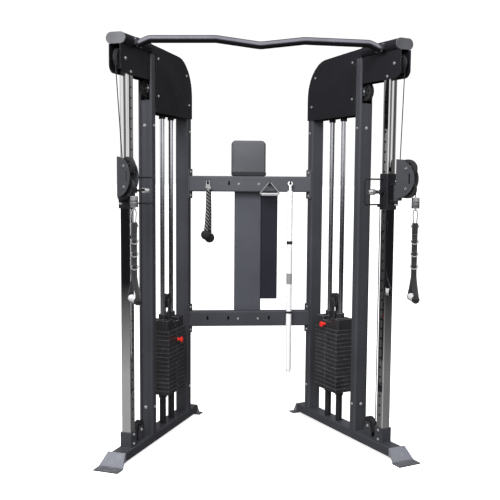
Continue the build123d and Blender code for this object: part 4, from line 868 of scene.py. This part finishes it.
def pad_form(name, centre, half_width, half_height, depth, back, crown, material, corner, low):
    """A stuffed panel: flat back, rounded sides that pull in at the corners, crowned front."""
    outline = rounded_outline(half_width, half_height, corner, low)
    rings = [(0.90, 0.0), (0.975, 0.0)]
    for step in range(1, 9):
        angle = math.pi / 2 * step / 8
        rings.append((0.972 + 0.028 * math.sin(angle), (depth - 0.012) * (1 - math.cos(angle)) * 0.75))
    top = rings[-1][1]
    for step in range(1, 9):
        angle = math.pi / 2 * step / 8
        rings.append((1.0 - 0.12 * (1 - math.cos(angle)), top + (depth - top) * math.sin(angle)))
    for step in range(1, 12):
        rings.append((0.88 * (1 - step / 12), depth))
    vertices = []
    for scale, rise in rings:
        for x, z in outline:
            from_side = max(0.0, 1 - (scale * x / half_width) ** 2)
            from_end = max(0.0, 1 - (scale * z / half_height) ** 2)
            lift = rise + (crown * from_side * from_end if rise >= depth * 0.99 else 0.0)
            inset = 1.0 - 0.010 * (abs(x * z) / (half_width * half_height))
            vertices.append(centre + Vector((x * scale * inset, back - lift, z * scale * inset)))
    return mesh_piece(name, vertices, skin(len(rings), len(outline)), material)


pad_low, pad_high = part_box("head_pad")
pad_centre = Vector(((pad_low.x + pad_high.x) / 2, 0, (pad_low.z + pad_high.z) / 2))
pad_half = ((pad_high.x - pad_low.x) / 2, (pad_high.z - pad_low.z) / 2)
TOP_CORNER, LOW_CORNER = 0.024, 0.012
pad = pad_form("head_cushion", pad_centre, *pad_half, 0.040, pad_high.y, 0.006,
               PAD_VINYL, TOP_CORNER, LOW_CORNER)
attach(pad, "frame")
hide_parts("head_pad")
piping_line = [Vector((pad_centre.x + 0.992 * x, pad_high.y - 0.006, pad_centre.z + 0.992 * z))
               for x, z in rounded_outline(*pad_half, TOP_CORNER, LOW_CORNER)]
piping = tube("head_cushion_piping", piping_line + piping_line[:2], 0.0026, PAD_EDGE, 10)
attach(piping, "frame")
ROLL_HALF = 0.0125
roll = pad_form("head_cushion_roll", Vector((pad_centre.x, 0, pad_low.z + ROLL_HALF)),
                pad_half[0] + 0.003, ROLL_HALF, 0.046, pad_high.y, 0.001, PAD_EDGE, 0.008, 0.008)
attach(roll, "frame")


# ---- studio ---------------------------------------------------------------------------------
def add_light(name, place, target, size, energy):
    lamp = bpy.data.lights.new(name, "AREA")
    lamp.shape = "RECTANGLE"
    lamp.size, lamp.size_y = size
    lamp.energy = energy
    light = bpy.data.objects.new(name, lamp)
    light.location = place
    light.rotation_euler = (Vector(target) - Vector(place)).to_track_quat("-Z", "Y").to_euler()
    light.visible_glossy = False
    bpy.context.scene.collection.objects.link(light)


def world_ramp(tree, value, stops):
    node = tree.nodes.new("ShaderNodeValToRGB")
    tree.links.new(value, node.inputs["Fac"])
    while len(node.color_ramp.elements) < len(stops):
        node.color_ramp.elements.new(0.5)
    for element, (position, grey) in zip(node.color_ramp.elements, stops):
        element.position = position
        element.color = (grey, grey, grey * 1.02, 1)
    return node.outputs["Color"]


def world_range(tree, value, low, high, top=1.0):
    """How far a value has gone from low to high, as 0 to top."""
    node = tree.nodes.new("ShaderNodeMapRange")
    node.inputs["From Min"].default_value = low
    node.inputs["From Max"].default_value = high
    node.inputs["To Max"].default_value = top
    tree.links.new(value, node.inputs["Value"])
    return node.outputs[0]


def world_mix(tree, factor, first, second):
    """The first colour or output turning into the second."""
    node = tree.nodes.new("ShaderNodeMix")
    node.data_type = "RGBA"
    tree.links.new(factor, node.inputs[0])
    for socket, value in ((node.inputs[6], first), (node.inputs[7], second)):
        if hasattr(value, "__len__"):
            socket.default_value = (*value, 1)
        else:
            tree.links.new(value, socket)
    return node.outputs[2]


# Greys of the room from the left (0) to the right (1), below the horizon and above it. The dark
# stretches near both ends make the streaks that the chromed columns show.
LOW_ROOM = ((0.0, 0.42), (0.15, 0.42), (0.36, 0.5), (0.56, 0.5), (0.72, 0.3), (0.88, 0.2), (1.0, 0.18))
HIGH_ROOM = ((0.0, 0.9), (0.062, 0.95), (0.07, 0.12), (0.08, 0.95), (0.1, 1.0), (0.108, 0.08), (0.125, 0.2),
             (0.133, 0.95), (0.146, 0.95), (0.152, 0.1), (0.17, 0.15), (0.18, 0.9), (0.4, 1.0), (0.6, 1.0),
             (0.885, 0.95), (0.9, 0.2), (0.922, 0.12), (0.928, 0.9), (0.938, 0.9), (0.945, 0.08),
             (0.962, 0.1), (0.97, 0.8), (1.0, 0.9))
GROUND_DARK, BACK_DARK, BACKDROP = (0.012, 0.0115, 0.014), (0.07, 0.07, 0.073), (1.06, 1.06, 1.06)
FLOOR_REACH = 400


def add_floor():
    """A plain pale floor that neither tints the machine nor shows in its metal."""
    corners = [(x * FLOOR_REACH, y * FLOOR_REACH, 0) for x, y in ((-1, -1), (1, -1), (1, 1), (-1, 1))]
    paint = Surface("floor_paint", (0.97, 0.97, 0.97), roughness=0.9, specular=0.0)
    tone = paint.ramp(paint.noise(0.4), (0.965, 0.965, 0.965), (0.975, 0.975, 0.975))
    paint.shader.inputs["Emission Color"].default_value = (1, 1, 1, 1)
    paint.shader.inputs["Emission Strength"].default_value = 0.8
    floor = mesh_piece("floor", corners, [(0, 1, 2, 3)], paint.put(("Base Color", tone)), False)
    floor.visible_glossy = False
    floor.visible_diffuse = False


def add_room():
    """A white backdrop, and for light and reflections a room that is darker low, behind and to the right."""
    world = bpy.data.worlds.new("studio")
    world.use_nodes = True
    tree = world.node_tree
    split = tree.nodes.new("ShaderNodeSeparateXYZ")
    tree.links.new(tree.nodes.new("ShaderNodeTexCoord").outputs["Generated"], split.inputs[0])
    across = world_range(tree, split.outputs["X"], -1.0, 1.0)
    above = world_range(tree, split.outputs["Z"], -0.01, 0.015)
    under = world_range(tree, split.outputs["Z"], -0.13, -0.24)
    behind = world_range(tree, split.outputs["Y"], 0.05, 0.45, 0.8)
    ground = world_mix(tree, under, GROUND_DARK, world_ramp(tree, across, LOW_ROOM))
    room = world_mix(tree, above, ground, world_ramp(tree, across, HIGH_ROOM))
    whole = world_mix(tree, behind, room, BACK_DARK)
    seen = tree.nodes.new("ShaderNodeLightPath").outputs["Is Camera Ray"]
    backdrop = world_mix(tree, seen, whole, BACKDROP)
    tree.links.new(backdrop, tree.nodes["Background"].inputs["Color"])
    bpy.context.scene.world = world


add_floor()
add_room()
add_light("key", (-1.3, -2.3, 3.5), (0, 0, 1.7), (2.2, 1.4), 225)
add_light("front", (-0.3, -4.6, 2.9), (0, 0, 1.9), (2.6, 1.2), 80)
bpy.context.scene.view_settings.view_transform = "Standard"
